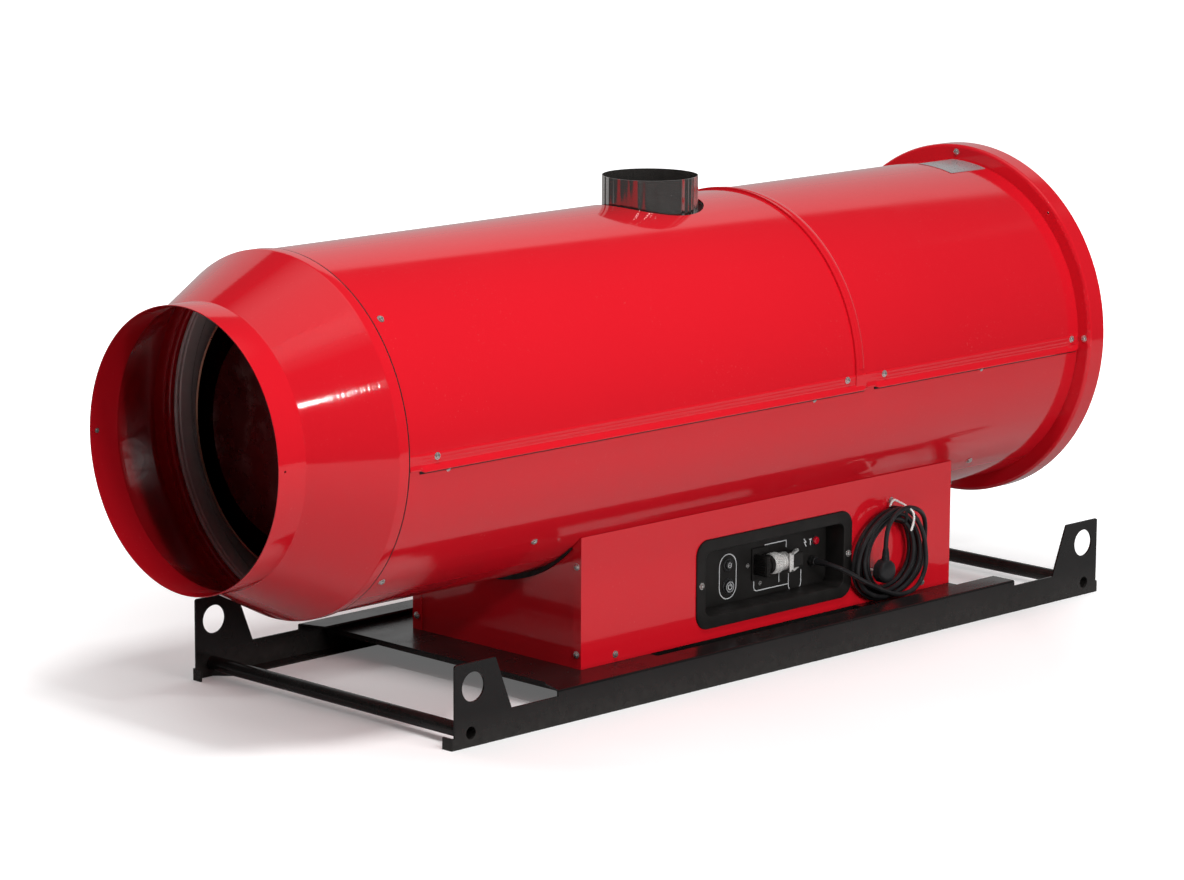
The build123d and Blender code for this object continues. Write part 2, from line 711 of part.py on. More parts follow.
# Feet that carry the drum in the liner
with BuildPart() as exchanger_feet:
    for x in (x_drum + FOOT_INSET, x_drum_end - FOOT_INSET):
        with BuildSketch(across(x)):
            Circle(liner_inner - FIT)
            Circle(DRUM_RADIUS + FIT, mode=Mode.SUBTRACT)
            foot_angle = degrees(FOOT_WIDTH / DRUM_RADIUS)
            with BuildSketch(mode=Mode.INTERSECT):
                for angle in FOOT_ANGLES:
                    ring_sector(DRUM_RADIUS - OVERRUN, SHELL_RADIUS, angle - foot_angle / 2, foot_angle)
        extrude(amount=FOOT_THICKNESS)
keep("exchanger_feet", exchanger_feet)

# Flue collar, standing on the drum's neck
with BuildPart() as flue_collar:
    with BuildSketch(Plane.XY.offset(neck_top)):
        with Locations((x_flue, 0)):
            Circle(FLUE_RADIUS)
            Circle(FLUE_RADIUS - FLUE_SHEET, mode=Mode.SUBTRACT)
    extrude(amount=FLUE_TOP - neck_top)
keep("flue_collar", flue_collar)

# Burner: flange, blast tube and a scroll fan across the casing
x_flange = x_drum_end
x_scroll = x_flange + FLANGE_THICKNESS + NECK_LENGTH + SCROLL_RADIUS
tube_inner = BLAST_TUBE_RADIUS - BLAST_TUBE_SHEET
scroll_side = SCROLL_WIDTH / 2


def across_y(x, y):
    """Plane across the burner's fan axis at side y: local x is +X, local y is +Z, z axis is -Y."""
    return Plane(origin=(x, y, AXIS_HEIGHT), x_dir=(1, 0, 0), z_dir=(0, -1, 0))


with BuildPart() as burner_flange:
    with BuildSketch(across(x_flange)):
        Circle(FLANGE_RADIUS)
        Circle(burner_hole, mode=Mode.SUBTRACT)
        with PolarLocations(FLANGE_BOLT_REACH, 4, start_angle=45):
            Circle(FLANGE_BOLT_RADIUS + FIT, mode=Mode.SUBTRACT)
    extrude(amount=FLANGE_THICKNESS)
keep("burner_flange", burner_flange)

x_tube = x_flange - BLAST_TUBE_REACH
tube_length = BLAST_TUBE_REACH + FLANGE_THICKNESS + BLAST_TUBE_TAIL
with BuildPart() as blast_tube:
    tube_x(x_tube, tube_length, BLAST_TUBE_RADIUS, tube_inner)
keep("blast_tube", blast_tube)

x_housing = x_flange + FLANGE_THICKNESS
neck_outer = BLAST_TUBE_RADIUS + FIT + SCROLL_WALL
with BuildPart() as burner_housing:
    with BuildSketch(across_y(x_scroll, scroll_side)):
        Circle(SCROLL_RADIUS)
    extrude(amount=SCROLL_WIDTH)
    with BuildSketch(across(x_housing)):
        Circle(neck_outer)
    extrude(amount=x_scroll - x_housing)
    with BuildSketch(across(x_housing)):
        Circle(BLAST_TUBE_RADIUS + FIT)
    extrude(amount=BLAST_TUBE_TAIL + FIT, mode=Mode.SUBTRACT)
    with BuildSketch(across(x_housing)):
        Circle(tube_inner)
    extrude(amount=x_scroll - x_housing, mode=Mode.SUBTRACT)
    with BuildSketch(across_y(x_scroll, scroll_side - SCROLL_WALL)):
        Circle(SCROLL_RADIUS - SCROLL_WALL)
    extrude(amount=SCROLL_WIDTH - 2 * SCROLL_WALL, mode=Mode.SUBTRACT)
    with BuildSketch(across_y(x_scroll, scroll_side + OVERRUN)):
        Circle(BURNER_SHAFT_RADIUS + RUN_FIT)
    extrude(amount=SCROLL_WIDTH + 2 * OVERRUN, mode=Mode.SUBTRACT)
keep("burner_housing", burner_housing)

with BuildPart() as burner_motor:
    with BuildSketch(across_y(x_scroll, -scroll_side)):
        Circle(BURNER_MOTOR_RADIUS)
    extrude(amount=BURNER_MOTOR_LENGTH)
    fillet(burner_motor.edges().group_by(Axis.Y)[0], SCROLL_WALL)
    with BuildSketch(across_y(x_scroll, -scroll_side)):
        Circle(BURNER_SHAFT_RADIUS + RUN_FIT)
    extrude(amount=BURNER_MOTOR_BORE_DEPTH, mode=Mode.SUBTRACT)
keep("burner_motor", burner_motor)

with BuildPart() as fuel_pump:
    with BuildSketch(across_y(x_scroll, scroll_side + PUMP_DEPTH)):
        RectangleRounded(PUMP_WIDTH, PUMP_HEIGHT, SCROLL_WALL)
    extrude(amount=PUMP_DEPTH)
    with BuildSketch(across_y(x_scroll, scroll_side + PUMP_BORE_DEPTH)):
        Circle(BURNER_SHAFT_RADIUS + RUN_FIT)
    extrude(amount=PUMP_BORE_DEPTH, mode=Mode.SUBTRACT)
keep("fuel_pump", fuel_pump)

shaft_from = scroll_side + PUMP_BORE_DEPTH - FIT
shaft_to = -scroll_side - BURNER_MOTOR_BORE_DEPTH + FIT
with BuildPart() as burner_shaft:
    with BuildSketch(across_y(x_scroll, shaft_from)):
        Circle(BURNER_SHAFT_RADIUS)
    extrude(amount=shaft_from - shaft_to)
keep("burner_shaft", burner_shaft)

impeller_side = IMPELLER_WIDTH / 2
blade_ring = IMPELLER_RADIUS - IMPELLER_BLADE_DEPTH / 2
with BuildPart() as burner_impeller:
    with BuildSketch(across_y(x_scroll, -impeller_side + SCROLL_WALL)):
        Circle(IMPELLER_RADIUS)
        Circle(BURNER_SHAFT_RADIUS, mode=Mode.SUBTRACT)
    extrude(amount=SCROLL_WALL)
    with BuildSketch(across_y(x_scroll, impeller_side)):
        with PolarLocations(blade_ring, IMPELLER_BLADES):
            Rectangle(IMPELLER_BLADE_DEPTH, IMPELLER_BLADE_SHEET, rotation=30)
    extrude(amount=IMPELLER_WIDTH - SCROLL_WALL)
    with BuildSketch(across_y(x_scroll, impeller_side)):
        Circle(IMPELLER_RADIUS)
        Circle(IMPELLER_RADIUS - IMPELLER_BLADE_DEPTH, mode=Mode.SUBTRACT)
    extrude(amount=SCROLL_WALL)
    with BuildSketch(across_y(x_scroll, impeller_side - SCROLL_WALL)):
        Circle(IMPELLER_HUB_RADIUS)
        Circle(BURNER_SHAFT_RADIUS, mode=Mode.SUBTRACT)
    extrude(amount=IMPELLER_WIDTH - 2 * SCROLL_WALL)
keep("burner_impeller", burner_impeller)

# Nozzle line with its diffuser plate, which centres it in the blast tube
x_nozzle = x_tube + NOZZLE_LENGTH
x_rod_end = x_housing + BLAST_TUBE_TAIL
with BuildPart() as nozzle_line:
    with BuildSketch(across(x_nozzle)):
        Circle(NOZZLE_RADIUS)
    extrude(amount=NOZZLE_LENGTH)
    with BuildSketch(across(x_nozzle)):
        Circle(NOZZLE_ROD_RADIUS)
    extrude(amount=x_rod_end - x_nozzle)
    with BuildSketch(across(x_nozzle)):
        Circle(tube_inner - FIT)
        with PolarLocations((tube_inner + NOZZLE_RADIUS) / 2, 6):
            Circle((tube_inner - NOZZLE_RADIUS) / 6, mode=Mode.SUBTRACT)
        with Locations((ELECTRODE_SPACING, ELECTRODE_SPACING), (-ELECTRODE_SPACING, ELECTRODE_SPACING)):
            Circle(CERAMIC_RADIUS + FIT, mode=Mode.SUBTRACT)
    extrude(amount=DIFFUSER_THICKNESS)
keep("nozzle_line", nozzle_line)

with BuildPart() as electrodes:
    with BuildSketch(across(x_nozzle)):
        with Locations((ELECTRODE_SPACING, ELECTRODE_SPACING), (-ELECTRODE_SPACING, ELECTRODE_SPACING)):
            Circle(CERAMIC_RADIUS)
    extrude(amount=BLAST_TUBE_REACH - NOZZLE_LENGTH)
    with BuildSketch(across(x_nozzle)):
        with Locations((ELECTRODE_SPACING, ELECTRODE_SPACING), (-ELECTRODE_SPACING, ELECTRODE_SPACING)):
            Circle(ELECTRODE_RADIUS)
    extrude(amount=-NOZZLE_LENGTH / 2)
keep("electrodes", electrodes)

z_transformer = AXIS_HEIGHT + SCROLL_RADIUS
with BuildPart() as ignition_transformer:
    with BuildSketch(Plane.XY.offset(z_transformer - SCROLL_WALL)):
        with Locations((x_scroll, 0)):
            RectangleRounded(TRANSFORMER_LENGTH, TRANSFORMER_WIDTH, SCROLL_WALL)
    extrude(amount=TRANSFORMER_HEIGHT)
    with BuildSketch(across_y(x_scroll, scroll_side + OVERRUN)):
        Circle(SCROLL_RADIUS + FIT)
    extrude(amount=SCROLL_WIDTH + 2 * OVERRUN, mode=Mode.SUBTRACT)
keep("ignition_transformer", ignition_transformer)

# Copper pipe from the pump's top to the housing's neck
pump_axis_y = scroll_side + PUMP_DEPTH / 2
z_pump_top = AXIS_HEIGHT + PUMP_HEIGHT / 2
pipe_rise = 2 * PIPE_BEND_RADIUS
x_pipe_end = x_housing + PIPE_BEND_RADIUS
with BuildPart() as fuel_pipe:
    with BuildLine():
        route = FilletPolyline(
            (x_scroll, pump_axis_y, z_pump_top),
            (x_scroll, pump_axis_y, z_pump_top + pipe_rise),
            (x_pipe_end, pump_axis_y, z_pump_top + pipe_rise),
            (x_pipe_end, pump_axis_y, AXIS_HEIGHT),
            (x_pipe_end, neck_outer, AXIS_HEIGHT),
            radius=PIPE_BEND_RADIUS,
        )
    with BuildSketch(Plane(route @ 0, z_dir=route % 0)):
        Circle(PIPE_RADIUS)
    sweep()
keep("fuel_pipe", fuel_pipe)

# Fan: motor in a clamp bracket, shaft, hub and blades
x_fan = x_seam + FAN_STATION
x_motor = x_fan + FAN_HUB_LENGTH / 2 + FAN_MOTOR_GAP
with BuildPart() as fan_motor:
    with BuildSketch(across(x_motor)):
        Circle(FAN_MOTOR_RADIUS)
    extrude(amount=FAN_MOTOR_LENGTH)
    with BuildSketch(across(x_motor + FAN_MOTOR_GAP + BRACKET_WIDTH)):
        with PolarLocations(FAN_MOTOR_RADIUS, MOTOR_FIN_COUNT):
            Rectangle(2 * MOTOR_FIN_DEPTH, MOTOR_FIN_WIDTH)
    extrude(amount=FAN_MOTOR_LENGTH - 2 * FAN_MOTOR_GAP - BRACKET_WIDTH)
    fillet(fan_motor.edges().group_by(Axis.X)[-1], MOTOR_FIN_DEPTH)
    with BuildSketch(across(x_motor)):
        Circle(FAN_SHAFT_RADIUS + RUN_FIT)
    extrude(amount=FAN_MOTOR_BORE_DEPTH, mode=Mode.SUBTRACT)
keep("fan_motor", fan_motor)

x_bracket = x_motor + FAN_MOTOR_GAP
clamp_outer = FAN_MOTOR_RADIUS + BRACKET_CLAMP_SHEET
with BuildPart() as motor_bracket:
    tube_x(x_bracket, BRACKET_WIDTH, clamp_outer, FAN_MOTOR_RADIUS)
    with BuildSketch(across(x_bracket)):
        Circle(shell_inner - FIT)
        Circle(clamp_outer - BRACKET_CLAMP_SHEET / 2, mode=Mode.SUBTRACT)
        with BuildSketch(mode=Mode.INTERSECT):
            Rectangle(2 * SHELL_RADIUS, BRACKET_ARM_WIDTH, rotation=45)
            Rectangle(2 * SHELL_RADIUS, BRACKET_ARM_WIDTH, rotation=-45)
    extrude(amount=BRACKET_ARM_SHEET)
    foot_sweep = degrees(BRACKET_ARM_WIDTH / SHELL_RADIUS)
    foot_outer = shell_inner - FIT
    with BuildSketch(across(x_bracket)):
        for i in range(4):
            foot_start = 45 + 90 * i - foot_sweep / 2
            ring_sector(foot_outer - BRACKET_ARM_SHEET, foot_outer, foot_start, foot_sweep)
    extrude(amount=BRACKET_WIDTH)
keep("motor_bracket", motor_bracket)

x_shaft = x_fan - FAN_HUB_LENGTH / 2
with BuildPart() as fan_shaft:
    with BuildSketch(across(x_shaft)):
        Circle(FAN_SHAFT_RADIUS)
    extrude(amount=FAN_HUB_LENGTH + FAN_MOTOR_GAP + FAN_MOTOR_BORE_DEPTH - FIT)
keep("fan_shaft", fan_shaft)

with BuildPart() as fan_hub:
    with BuildSketch(across(x_shaft)):
        Circle(FAN_HUB_RADIUS)
    extrude(amount=FAN_HUB_LENGTH)
    fillet(fan_hub.edges().group_by(Axis.X)[0], FAN_HUB_WALL)
    with BuildSketch(across(x_shaft + FAN_HUB_WALL)):
        Circle(FAN_HUB_RADIUS - FAN_HUB_WALL)
        Circle(FAN_SHAFT_RADIUS + FAN_HUB_WALL, mode=Mode.SUBTRACT)
    extrude(amount=FAN_HUB_LENGTH, mode=Mode.SUBTRACT)
    with BuildSketch(across(x_shaft - OVERRUN)):
        Circle(FAN_SHAFT_RADIUS)
    extrude(amount=FAN_HUB_LENGTH + 2 * OVERRUN, mode=Mode.SUBTRACT)
keep("fan_hub", fan_hub)


def blade_plane(radius, pitch):
    """Plane facing out along +Z from the fan's axis, turned to the blade's pitch there."""
    flat = Plane(origin=(x_fan, 0, AXIS_HEIGHT + radius), x_dir=(1, 0, 0), z_dir=(0, 0, 1))
    return flat.rotated((0, 0, 90 - pitch))


with BuildPart() as fan_blade:
    for radius, chord, pitch in (
        (FAN_HUB_RADIUS - FAN_HUB_WALL / 2, FAN_ROOT_CHORD, FAN_ROOT_PITCH),
        (FAN_TIP_RADIUS + OVERRUN, FAN_TIP_CHORD, FAN_TIP_PITCH),
    ):
        with BuildSketch(blade_plane(radius, pitch)):
            Rectangle(chord, FAN_BLADE_SHEET)
    loft(ruled=True)
    with BuildSketch(across(x_fan - FAN_TIP_CHORD)):
        Circle(FAN_TIP_RADIUS)
    extrude(amount=2 * FAN_TIP_CHORD, mode=Mode.INTERSECT)
    with BuildSketch(across(x_fan - FAN_TIP_CHORD)):
        Circle(FAN_HUB_RADIUS)
    extrude(amount=2 * FAN_TIP_CHORD, mode=Mode.SUBTRACT)

with BuildPart() as fan_blades:
    for i in range(FAN_BLADES):
        add(fan_blade.part.rotate(shell_axis, i * 360 / FAN_BLADES))
keep("fan_blades", fan_blades)

# Control box
y_front = -BOX_FRONT_DEPTH
y_back = BOX_BACK_DEPTH


def panel_top(depth):
    """Height at which a panel's inner face meets the casing."""
    reach = SHELL_RADIUS + FIT
    return AXIS_HEIGHT - sqrt(reach * reach - (depth - SHEET) ** 2)


tray_x = x_box + TRAY_STATION
tray_z = TRAY_CENTRE_HEIGHT
pocket_length = TRAY_LENGTH - 2 * TRAY_BORDER
pocket_height = TRAY_HEIGHT - 2 * TRAY_BORDER
pocket_outer_length = pocket_length + 2 * TRAY_WALL
pocket_outer_height = pocket_height + 2 * TRAY_WALL
front_face = Plane(origin=(tray_x, y_front, tray_z), x_dir=(1, 0, 0), z_dir=(0, -1, 0))
x_hook = x_seam + COIL_CENTRE_STATION + COIL_LEAN + HOOK_OFFSET
z_hook = BOX_BOTTOM + HOOK_RISE
front_screw_planes = [
    Plane(origin=(x, y_front, z), x_dir=(1, 0, 0), z_dir=(0, -1, 0))
    for x, z in (
        (x_box + BOX_SCREW_INSET, BOX_BOTTOM + BOX_SCREW_RISE),
        (x_box_end - BOX_SCREW_FAN_INSET, BOX_BOTTOM + BOX_SCREW_RISE),
        (x_hook, z_hook),
    )
]
back_screw_planes = [
    Plane(origin=(x, y_back, BOX_BOTTOM + BOX_SCREW_RISE), x_dir=(-1, 0, 0), z_dir=(0, 1, 0))
    for x in (x_box + BOX_SCREW_INSET, x_box_end - BOX_SCREW_INSET)
]
end_screw_planes = [
    Plane(origin=(x, y, BOX_BOTTOM + rise), x_dir=(0, 1, 0), z_dir=(direction, 0, 0))
    for x, direction in ((x_box, -1), (x_box_end, 1))
    for y in (y_front + BOX_RETURN / 2, y_back - BOX_RETURN / 2)
    for rise in END_SCREW_RISES
]
bezel_screw_planes = [
    Plane(origin=(tray_x + shift, y_front - TRAY_FACE, tray_z), x_dir=(1, 0, 0), z_dir=(0, -1, 0))
    for shift in (-(TRAY_LENGTH - TRAY_BORDER) / 2, (TRAY_LENGTH - TRAY_BORDER) / 2)
]


def long_panel(side, depth):
    """Long side panel of the box and its folded returns. Side is -1 for the front and +1 for the back."""
    height = panel_top(depth) - BOX_BOTTOM
    with BuildSketch(Plane.XY.offset(BOX_BOTTOM)) as plan:
        with Locations(((x_box + x_box_end) / 2, side * (depth - SHEET / 2))):
            Rectangle(BOX_LENGTH, SHEET)
        for x in (x_box + SHEET / 2, x_box_end - SHEET / 2):
            with Locations((x, side * (depth - BOX_RETURN / 2))):
                Rectangle(SHEET, BOX_RETURN)
    extrude(plan.sketch, amount=height)
    with BuildSketch(across(x_box - OVERRUN)) as casing:
        Circle(SHELL_RADIUS + FIT)
    extrude(casing.sketch, amount=BOX_LENGTH + 2 * OVERRUN, mode=Mode.SUBTRACT)


with BuildPart() as box_front_panel:
    long_panel(-1, BOX_FRONT_DEPTH)
    cutout_corner = TRAY_POCKET_CORNER + TRAY_WALL
    with BuildSketch(front_face):
        RectangleRounded(pocket_outer_length + 2 * FIT, pocket_outer_height + 2 * FIT, cutout_corner)
    extrude(amount=-BOX_RETURN, mode=Mode.SUBTRACT)
    drill(front_screw_planes + bezel_screw_planes, screw_hole, SCREW_SHANK_LENGTH)
    drill(end_screw_planes, screw_hole, SCREW_SHANK_LENGTH)
keep("box_front_panel", box_front_panel)

with BuildPart() as box_back_panel:
    long_panel(1, BOX_BACK_DEPTH)
    drill(back_screw_planes + end_screw_planes, screw_hole, SCREW_SHANK_LENGTH)
keep("box_back_panel", box_back_panel)

# Saddle arc of the end panels: a larger gap at the bottom than at the front corner
corner_drop = sqrt(SHELL_RADIUS ** 2 - BOX_FRONT_DEPTH ** 2)
saddle_slack = SHELL_RADIUS + SADDLE_GAP - corner_drop
saddle_radius = (BOX_FRONT_DEPTH ** 2 + saddle_slack ** 2) / (2 * saddle_slack)
saddle_shift = SHELL_RADIUS + SADDLE_GAP - saddle_radius
inner_front = y_front + SHEET
inner_back = y_back - SHEET


def end_outline():
    """End panel's face, between the long panels and under the saddle arc."""
    low = BOX_BOTTOM - AXIS_HEIGHT
    high = panel_top(BOX_FRONT_DEPTH) - AXIS_HEIGHT
    with BuildLine() as outline:
        Polyline((inner_front, low), (inner_back, low), (inner_back, high), (inner_front, high), close=True)
    make_face(outline.edges())
    with Locations((0, -saddle_shift)):
        Circle(saddle_radius, mode=Mode.SUBTRACT)
    Circle(SHELL_RADIUS + FIT, mode=Mode.SUBTRACT)


with BuildPart() as box_outlet_end:
    with BuildSketch(across(x_box + SHEET)):
        end_outline()
    extrude(amount=SHEET)
    drill(end_screw_planes[:4], screw_hole, SCREW_SHANK_LENGTH)
keep("box_outlet_end", box_outlet_end)

with BuildPart() as box_fan_end:
    with BuildSketch(across(x_box_end - 2 * SHEET)):
        end_outline()
    extrude(amount=SHEET)
    drill(end_screw_planes[4:], screw_hole, SCREW_SHANK_LENGTH)
keep("box_fan_end", box_fan_end)

with BuildPart() as saddle_seals:
    for x in (x_box + 2 * SHEET - SEAL_WIDTH / 2, x_box_end - 2 * SHEET - SEAL_WIDTH / 2):
        with BuildSketch(across(x)):
            with BuildLine():
                Polyline(
                    (inner_front + BOX_RETURN, -AXIS_HEIGHT),
                    (inner_back - BOX_RETURN, -AXIS_HEIGHT),
                    (inner_back - BOX_RETURN, -corner_drop),
                    (inner_front + BOX_RETURN, -corner_drop),
                    close=True,
                )
            make_face()
            with Locations((0, -saddle_shift)):
                Circle(saddle_radius - FIT / 3, mode=Mode.INTERSECT)
            Circle(SHELL_RADIUS + FIT, mode=Mode.SUBTRACT)
        extrude(amount=SEAL_WIDTH)
keep("saddle_seals", saddle_seals)

inner_depth = inner_back - inner_front
bolt_xs = (x_box + BOLT_INSET, x_box_end - BOLT_INSET)
bolt_ys = (inner_front + BOLT_INSET, inner_back - BOLT_INSET)
bolt_places = [(x, y) for x in bolt_xs for y in bolt_ys]
with BuildPart() as box_base:
    with BuildSketch(Plane.XY.offset(BOX_BOTTOM)):
        with Locations(((x_box + x_box_end) / 2, (inner_front + inner_back) / 2)):
            Rectangle(BOX_LENGTH - 4 * SHEET, inner_depth)
        with Locations(*bolt_places):
            Circle(BOLT_RADIUS + FIT, mode=Mode.SUBTRACT)
    extrude(amount=SHEET)
keep("box_base", box_base)

with BuildPart() as flame_control_unit:
    with BuildSketch(Plane.XY.offset(BOX_BOTTOM + SHEET)):
        with Locations((x_box + CONTROL_UNIT_STATION, 0)):
            RectangleRounded(CONTROL_UNIT_LENGTH, CONTROL_UNIT_WIDTH, SCROLL_WALL)
    extrude(amount=CONTROL_UNIT_HEIGHT)
    fillet(flame_control_unit.edges().group_by(Axis.Z)[-1], SHEET)
keep("flame_control_unit", flame_control_unit)

# Places of the controls, from the tray's centre
reset_place = (RESET_SHIFT, RESET_RISE)
power_place = (POWER_SHIFT, POWER_RISE)
lamp_place = (LAMP_SHIFT, LAMP_RISE)
gland_place = (GLAND_SHIFT, GLAND_RISE)
socket_place = (SOCKET_SHIFT, SOCKET_RISE)
floor_screw_places = ((SIDE_SCREW_SHIFT, SIDE_SCREW_RISE), (LOW_SCREW_SHIFT, LOW_SCREW_RISE))

# Control tray: bezel and pocket in one moulding
floor_y = y_front + TRAY_DEPTH
floor_plane = Plane(origin=(tray_x, floor_y, tray_z), x_dir=(1, 0, 0), z_dir=(0, -1, 0))


def on_floor(place):
    """Plane on the pocket's floor at an offset from the tray's centre, its z axis towards the user."""
    return Plane(floor_plane.from_local_coords(Vector(*place)), x_dir=(1, 0, 0), z_dir=(0, -1, 0))


floor_screw_planes = [on_floor(place) for place in floor_screw_places]
pocket_depth = TRAY_DEPTH + TRAY_FACE
with BuildPart() as control_tray:
    with BuildSketch(front_face):
        RectangleRounded(TRAY_LENGTH, TRAY_HEIGHT, TRAY_CORNER)
    extrude(amount=TRAY_FACE)
    fillet(control_tray.edges().group_by(Axis.Y)[0], TRAY_EDGE_ROUND)
    with BuildSketch(front_face):
        RectangleRounded(pocket_outer_length, pocket_outer_height, TRAY_POCKET_CORNER + TRAY_WALL)
    extrude(amount=-(TRAY_DEPTH + TRAY_WALL), taper=TRAY_DRAFT)
    with BuildSketch(front_face.offset(TRAY_FACE)):
        RectangleRounded(pocket_length, pocket_height, TRAY_POCKET_CORNER)
    extrude(amount=-pocket_depth, taper=TRAY_DRAFT, mode=Mode.SUBTRACT)
    fillet(control_tray.edges().group_by(Axis.Y)[0], TRAY_EDGE_ROUND)
    drill(bezel_screw_planes, screw_hole, 2 * TRAY_FACE)
    drill(floor_screw_planes, small_screw_hole, TRAY_WALL + FIT)
    drill([on_floor(reset_place)], RESET_RADIUS + FIT, TRAY_WALL + FIT)
    drill([on_floor(power_place)], POWER_RADIUS + FIT, TRAY_WALL + FIT)
    drill([on_floor(lamp_place)], LAMP_RADIUS - SHEET + FIT, TRAY_WALL + FIT)
    drill([on_floor(gland_place)], GLAND_RADIUS - 2 * SHEET + FIT, TRAY_WALL + FIT)
keep("control_tray", control_tray)


def push_button(place, radius):
    """Round button through the pocket's floor, with a retaining flange behind it."""
    with BuildSketch(on_floor(place).offset(BUTTON_PROUD)) as cap:
        Circle(radius)
    extrude(cap.sketch, amount=-(BUTTON_PROUD + BUTTON_TAIL))
    with BuildSketch(on_floor(place).offset(-TRAY_WALL - FIT)) as flange:
        Circle(radius + BUTTON_FLANGE)
    extrude(flange.sketch, amount=-BUTTON_FLANGE)


with BuildPart() as reset_button:
    push_button(reset_place, RESET_RADIUS)
    fillet(reset_button.edges().group_by(Axis.Y)[0], BUTTON_ROUND)
keep("reset_button", reset_button)

with BuildPart() as power_button:
    push_button(power_place, POWER_RADIUS)
    fillet(power_button.edges().group_by(Axis.Y)[0], BUTTON_ROUND)
keep("power_button", power_button)

with BuildPart() as power_lamp:
    with BuildSketch(on_floor(lamp_place)):
        Circle(LAMP_RADIUS)
    extrude(amount=LAMP_PROUD)
    fillet(power_lamp.edges().group_by(Axis.Y)[0], LAMP_PROUD / 2)
    with BuildSketch(on_floor(lamp_place)):
        Circle(LAMP_RADIUS - SHEET)
    extrude(amount=-(TRAY_WALL + BUTTON_TAIL))
keep("power_lamp", power_lamp)

gland_plane = on_floor(gland_place)
with BuildPart() as cable_gland:
    with BuildSketch(gland_plane):
        RegularPolygon(GLAND_RADIUS, 6, major_radius=True)
    extrude(amount=GLAND_NUT_LENGTH)
    with BuildSketch(gland_plane):
        Circle(GLAND_RADIUS - SHEET)
    extrude(amount=GLAND_LENGTH)
    fillet(cable_gland.edges().group_by(Axis.Y)[0], SHEET)
    with BuildSketch(gland_plane):
        Circle(GLAND_RADIUS - 2 * SHEET)
    extrude(amount=-(TRAY_WALL + BUTTON_TAIL))
keep("cable_gland", cable_gland)

# Thermostat socket, its ribbed plug and the bail that holds the plug in
socket_x = tray_x + socket_place[0]
socket_z = tray_z + socket_place[1]
plug_y = floor_y - SOCKET_DEPTH / 2
mouth_x = socket_x + SOCKET_LENGTH / 2
plug_end = Plane(origin=(mouth_x, plug_y, socket_z), x_dir=(0, 1, 0), z_dir=(1, 0, 0))
with BuildPart() as thermostat_socket:
    with BuildSketch(on_floor(socket_place)):
        RectangleRounded(SOCKET_LENGTH, SOCKET_HEIGHT, SOCKET_WALL)
    extrude(amount=SOCKET_DEPTH)
    fillet(thermostat_socket.edges().group_by(Axis.Y)[0], SHEET)
    with BuildSketch(plug_end):
        Circle(PLUG_TENON_RADIUS + FIT)
    extrude(amount=-(PLUG_TENON_LENGTH + FIT), mode=Mode.SUBTRACT)
keep("thermostat_socket", thermostat_socket)

rib_pitch = PLUG_SHELL_LENGTH / (2 * PLUG_RIBS)
shell_start = plug_end.offset(FIT)
with BuildPart() as plug_shell:
    with BuildSketch(shell_start):
        Circle(PLUG_SHELL_RADIUS - PLUG_RIB_DEPTH)
    extrude(amount=PLUG_SHELL_LENGTH)
    for i in range(PLUG_RIBS):
        with BuildSketch(shell_start.offset((2 * i + 1 / 2) * rib_pitch)):
            Circle(PLUG_SHELL_RADIUS)
        extrude(amount=rib_pitch)
    with BuildSketch(shell_start):
        Circle(PLUG_TENON_RADIUS)
    extrude(amount=-PLUG_TENON_LENGTH)
keep("plug_shell", plug_shell)

block_start = shell_start.offset(PLUG_SHELL_LENGTH)
pin_x = mouth_x + FIT + PLUG_SHELL_LENGTH + PLUG_BLOCK_LENGTH - LATCH_EYE_RADIUS
pin_top = socket_z + PLUG_BLOCK_HEIGHT / 2
with BuildPart() as thermostat_plug:
    with BuildSketch(block_start):
        RectangleRounded(PLUG_BLOCK_DEPTH, PLUG_BLOCK_HEIGHT, SOCKET_WALL)
    extrude(amount=PLUG_BLOCK_LENGTH)
    for z, direction in ((pin_top, 1), (socket_z - PLUG_BLOCK_HEIGHT / 2, -1)):
        with BuildSketch(Plane(origin=(pin_x, plug_y, z), x_dir=(1, 0, 0), z_dir=(0, 0, direction))):
            Circle(LATCH_PIN_RADIUS)
        extrude(amount=FIT + LATCH_SHEET + LATCH_PIN_LENGTH / 2)
keep("thermostat_plug", thermostat_plug)

bail_front = plug_y - PLUG_SHELL_RADIUS - FIT - LATCH_SHEET / 2
bail_x = mouth_x + FIT + PLUG_SHELL_LENGTH - LATCH_ARM_WIDTH
arm_gap = PLUG_BLOCK_HEIGHT / 2 + FIT
cross_outer = arm_gap + LATCH_SHEET
with BuildPart() as plug_latch:
    for z in (socket_z + arm_gap, socket_z - cross_outer):
        with BuildSketch(Plane(origin=(0, 0, z), x_dir=(1, 0, 0), z_dir=(0, 0, 1))):
            with Locations((pin_x, plug_y)):
                Circle(LATCH_EYE_RADIUS)
            with BuildLine():
                Polyline(
                    (pin_x, plug_y + LATCH_EYE_RADIUS),
                    (pin_x, plug_y - LATCH_EYE_RADIUS),
                    (bail_x + LATCH_ARM_WIDTH, bail_front - LATCH_SHEET / 2),
                    (bail_x, bail_front - LATCH_SHEET / 2),
                    (bail_x, bail_front + LATCH_SHEET / 2),
                    close=True,
                )
            make_face()
            with Locations((pin_x, plug_y)):
                Circle(LATCH_PIN_RADIUS + RUN_FIT, mode=Mode.SUBTRACT)
        extrude(amount=LATCH_SHEET)
    with BuildSketch(Plane(origin=(0, 0, socket_z - cross_outer), x_dir=(1, 0, 0), z_dir=(0, 0, 1))):
        with Locations((bail_x + LATCH_ARM_WIDTH / 2, bail_front)):
            Rectangle(LATCH_ARM_WIDTH, LATCH_SHEET)
    extrude(amount=2 * cross_outer)
keep("plug_latch", plug_latch)

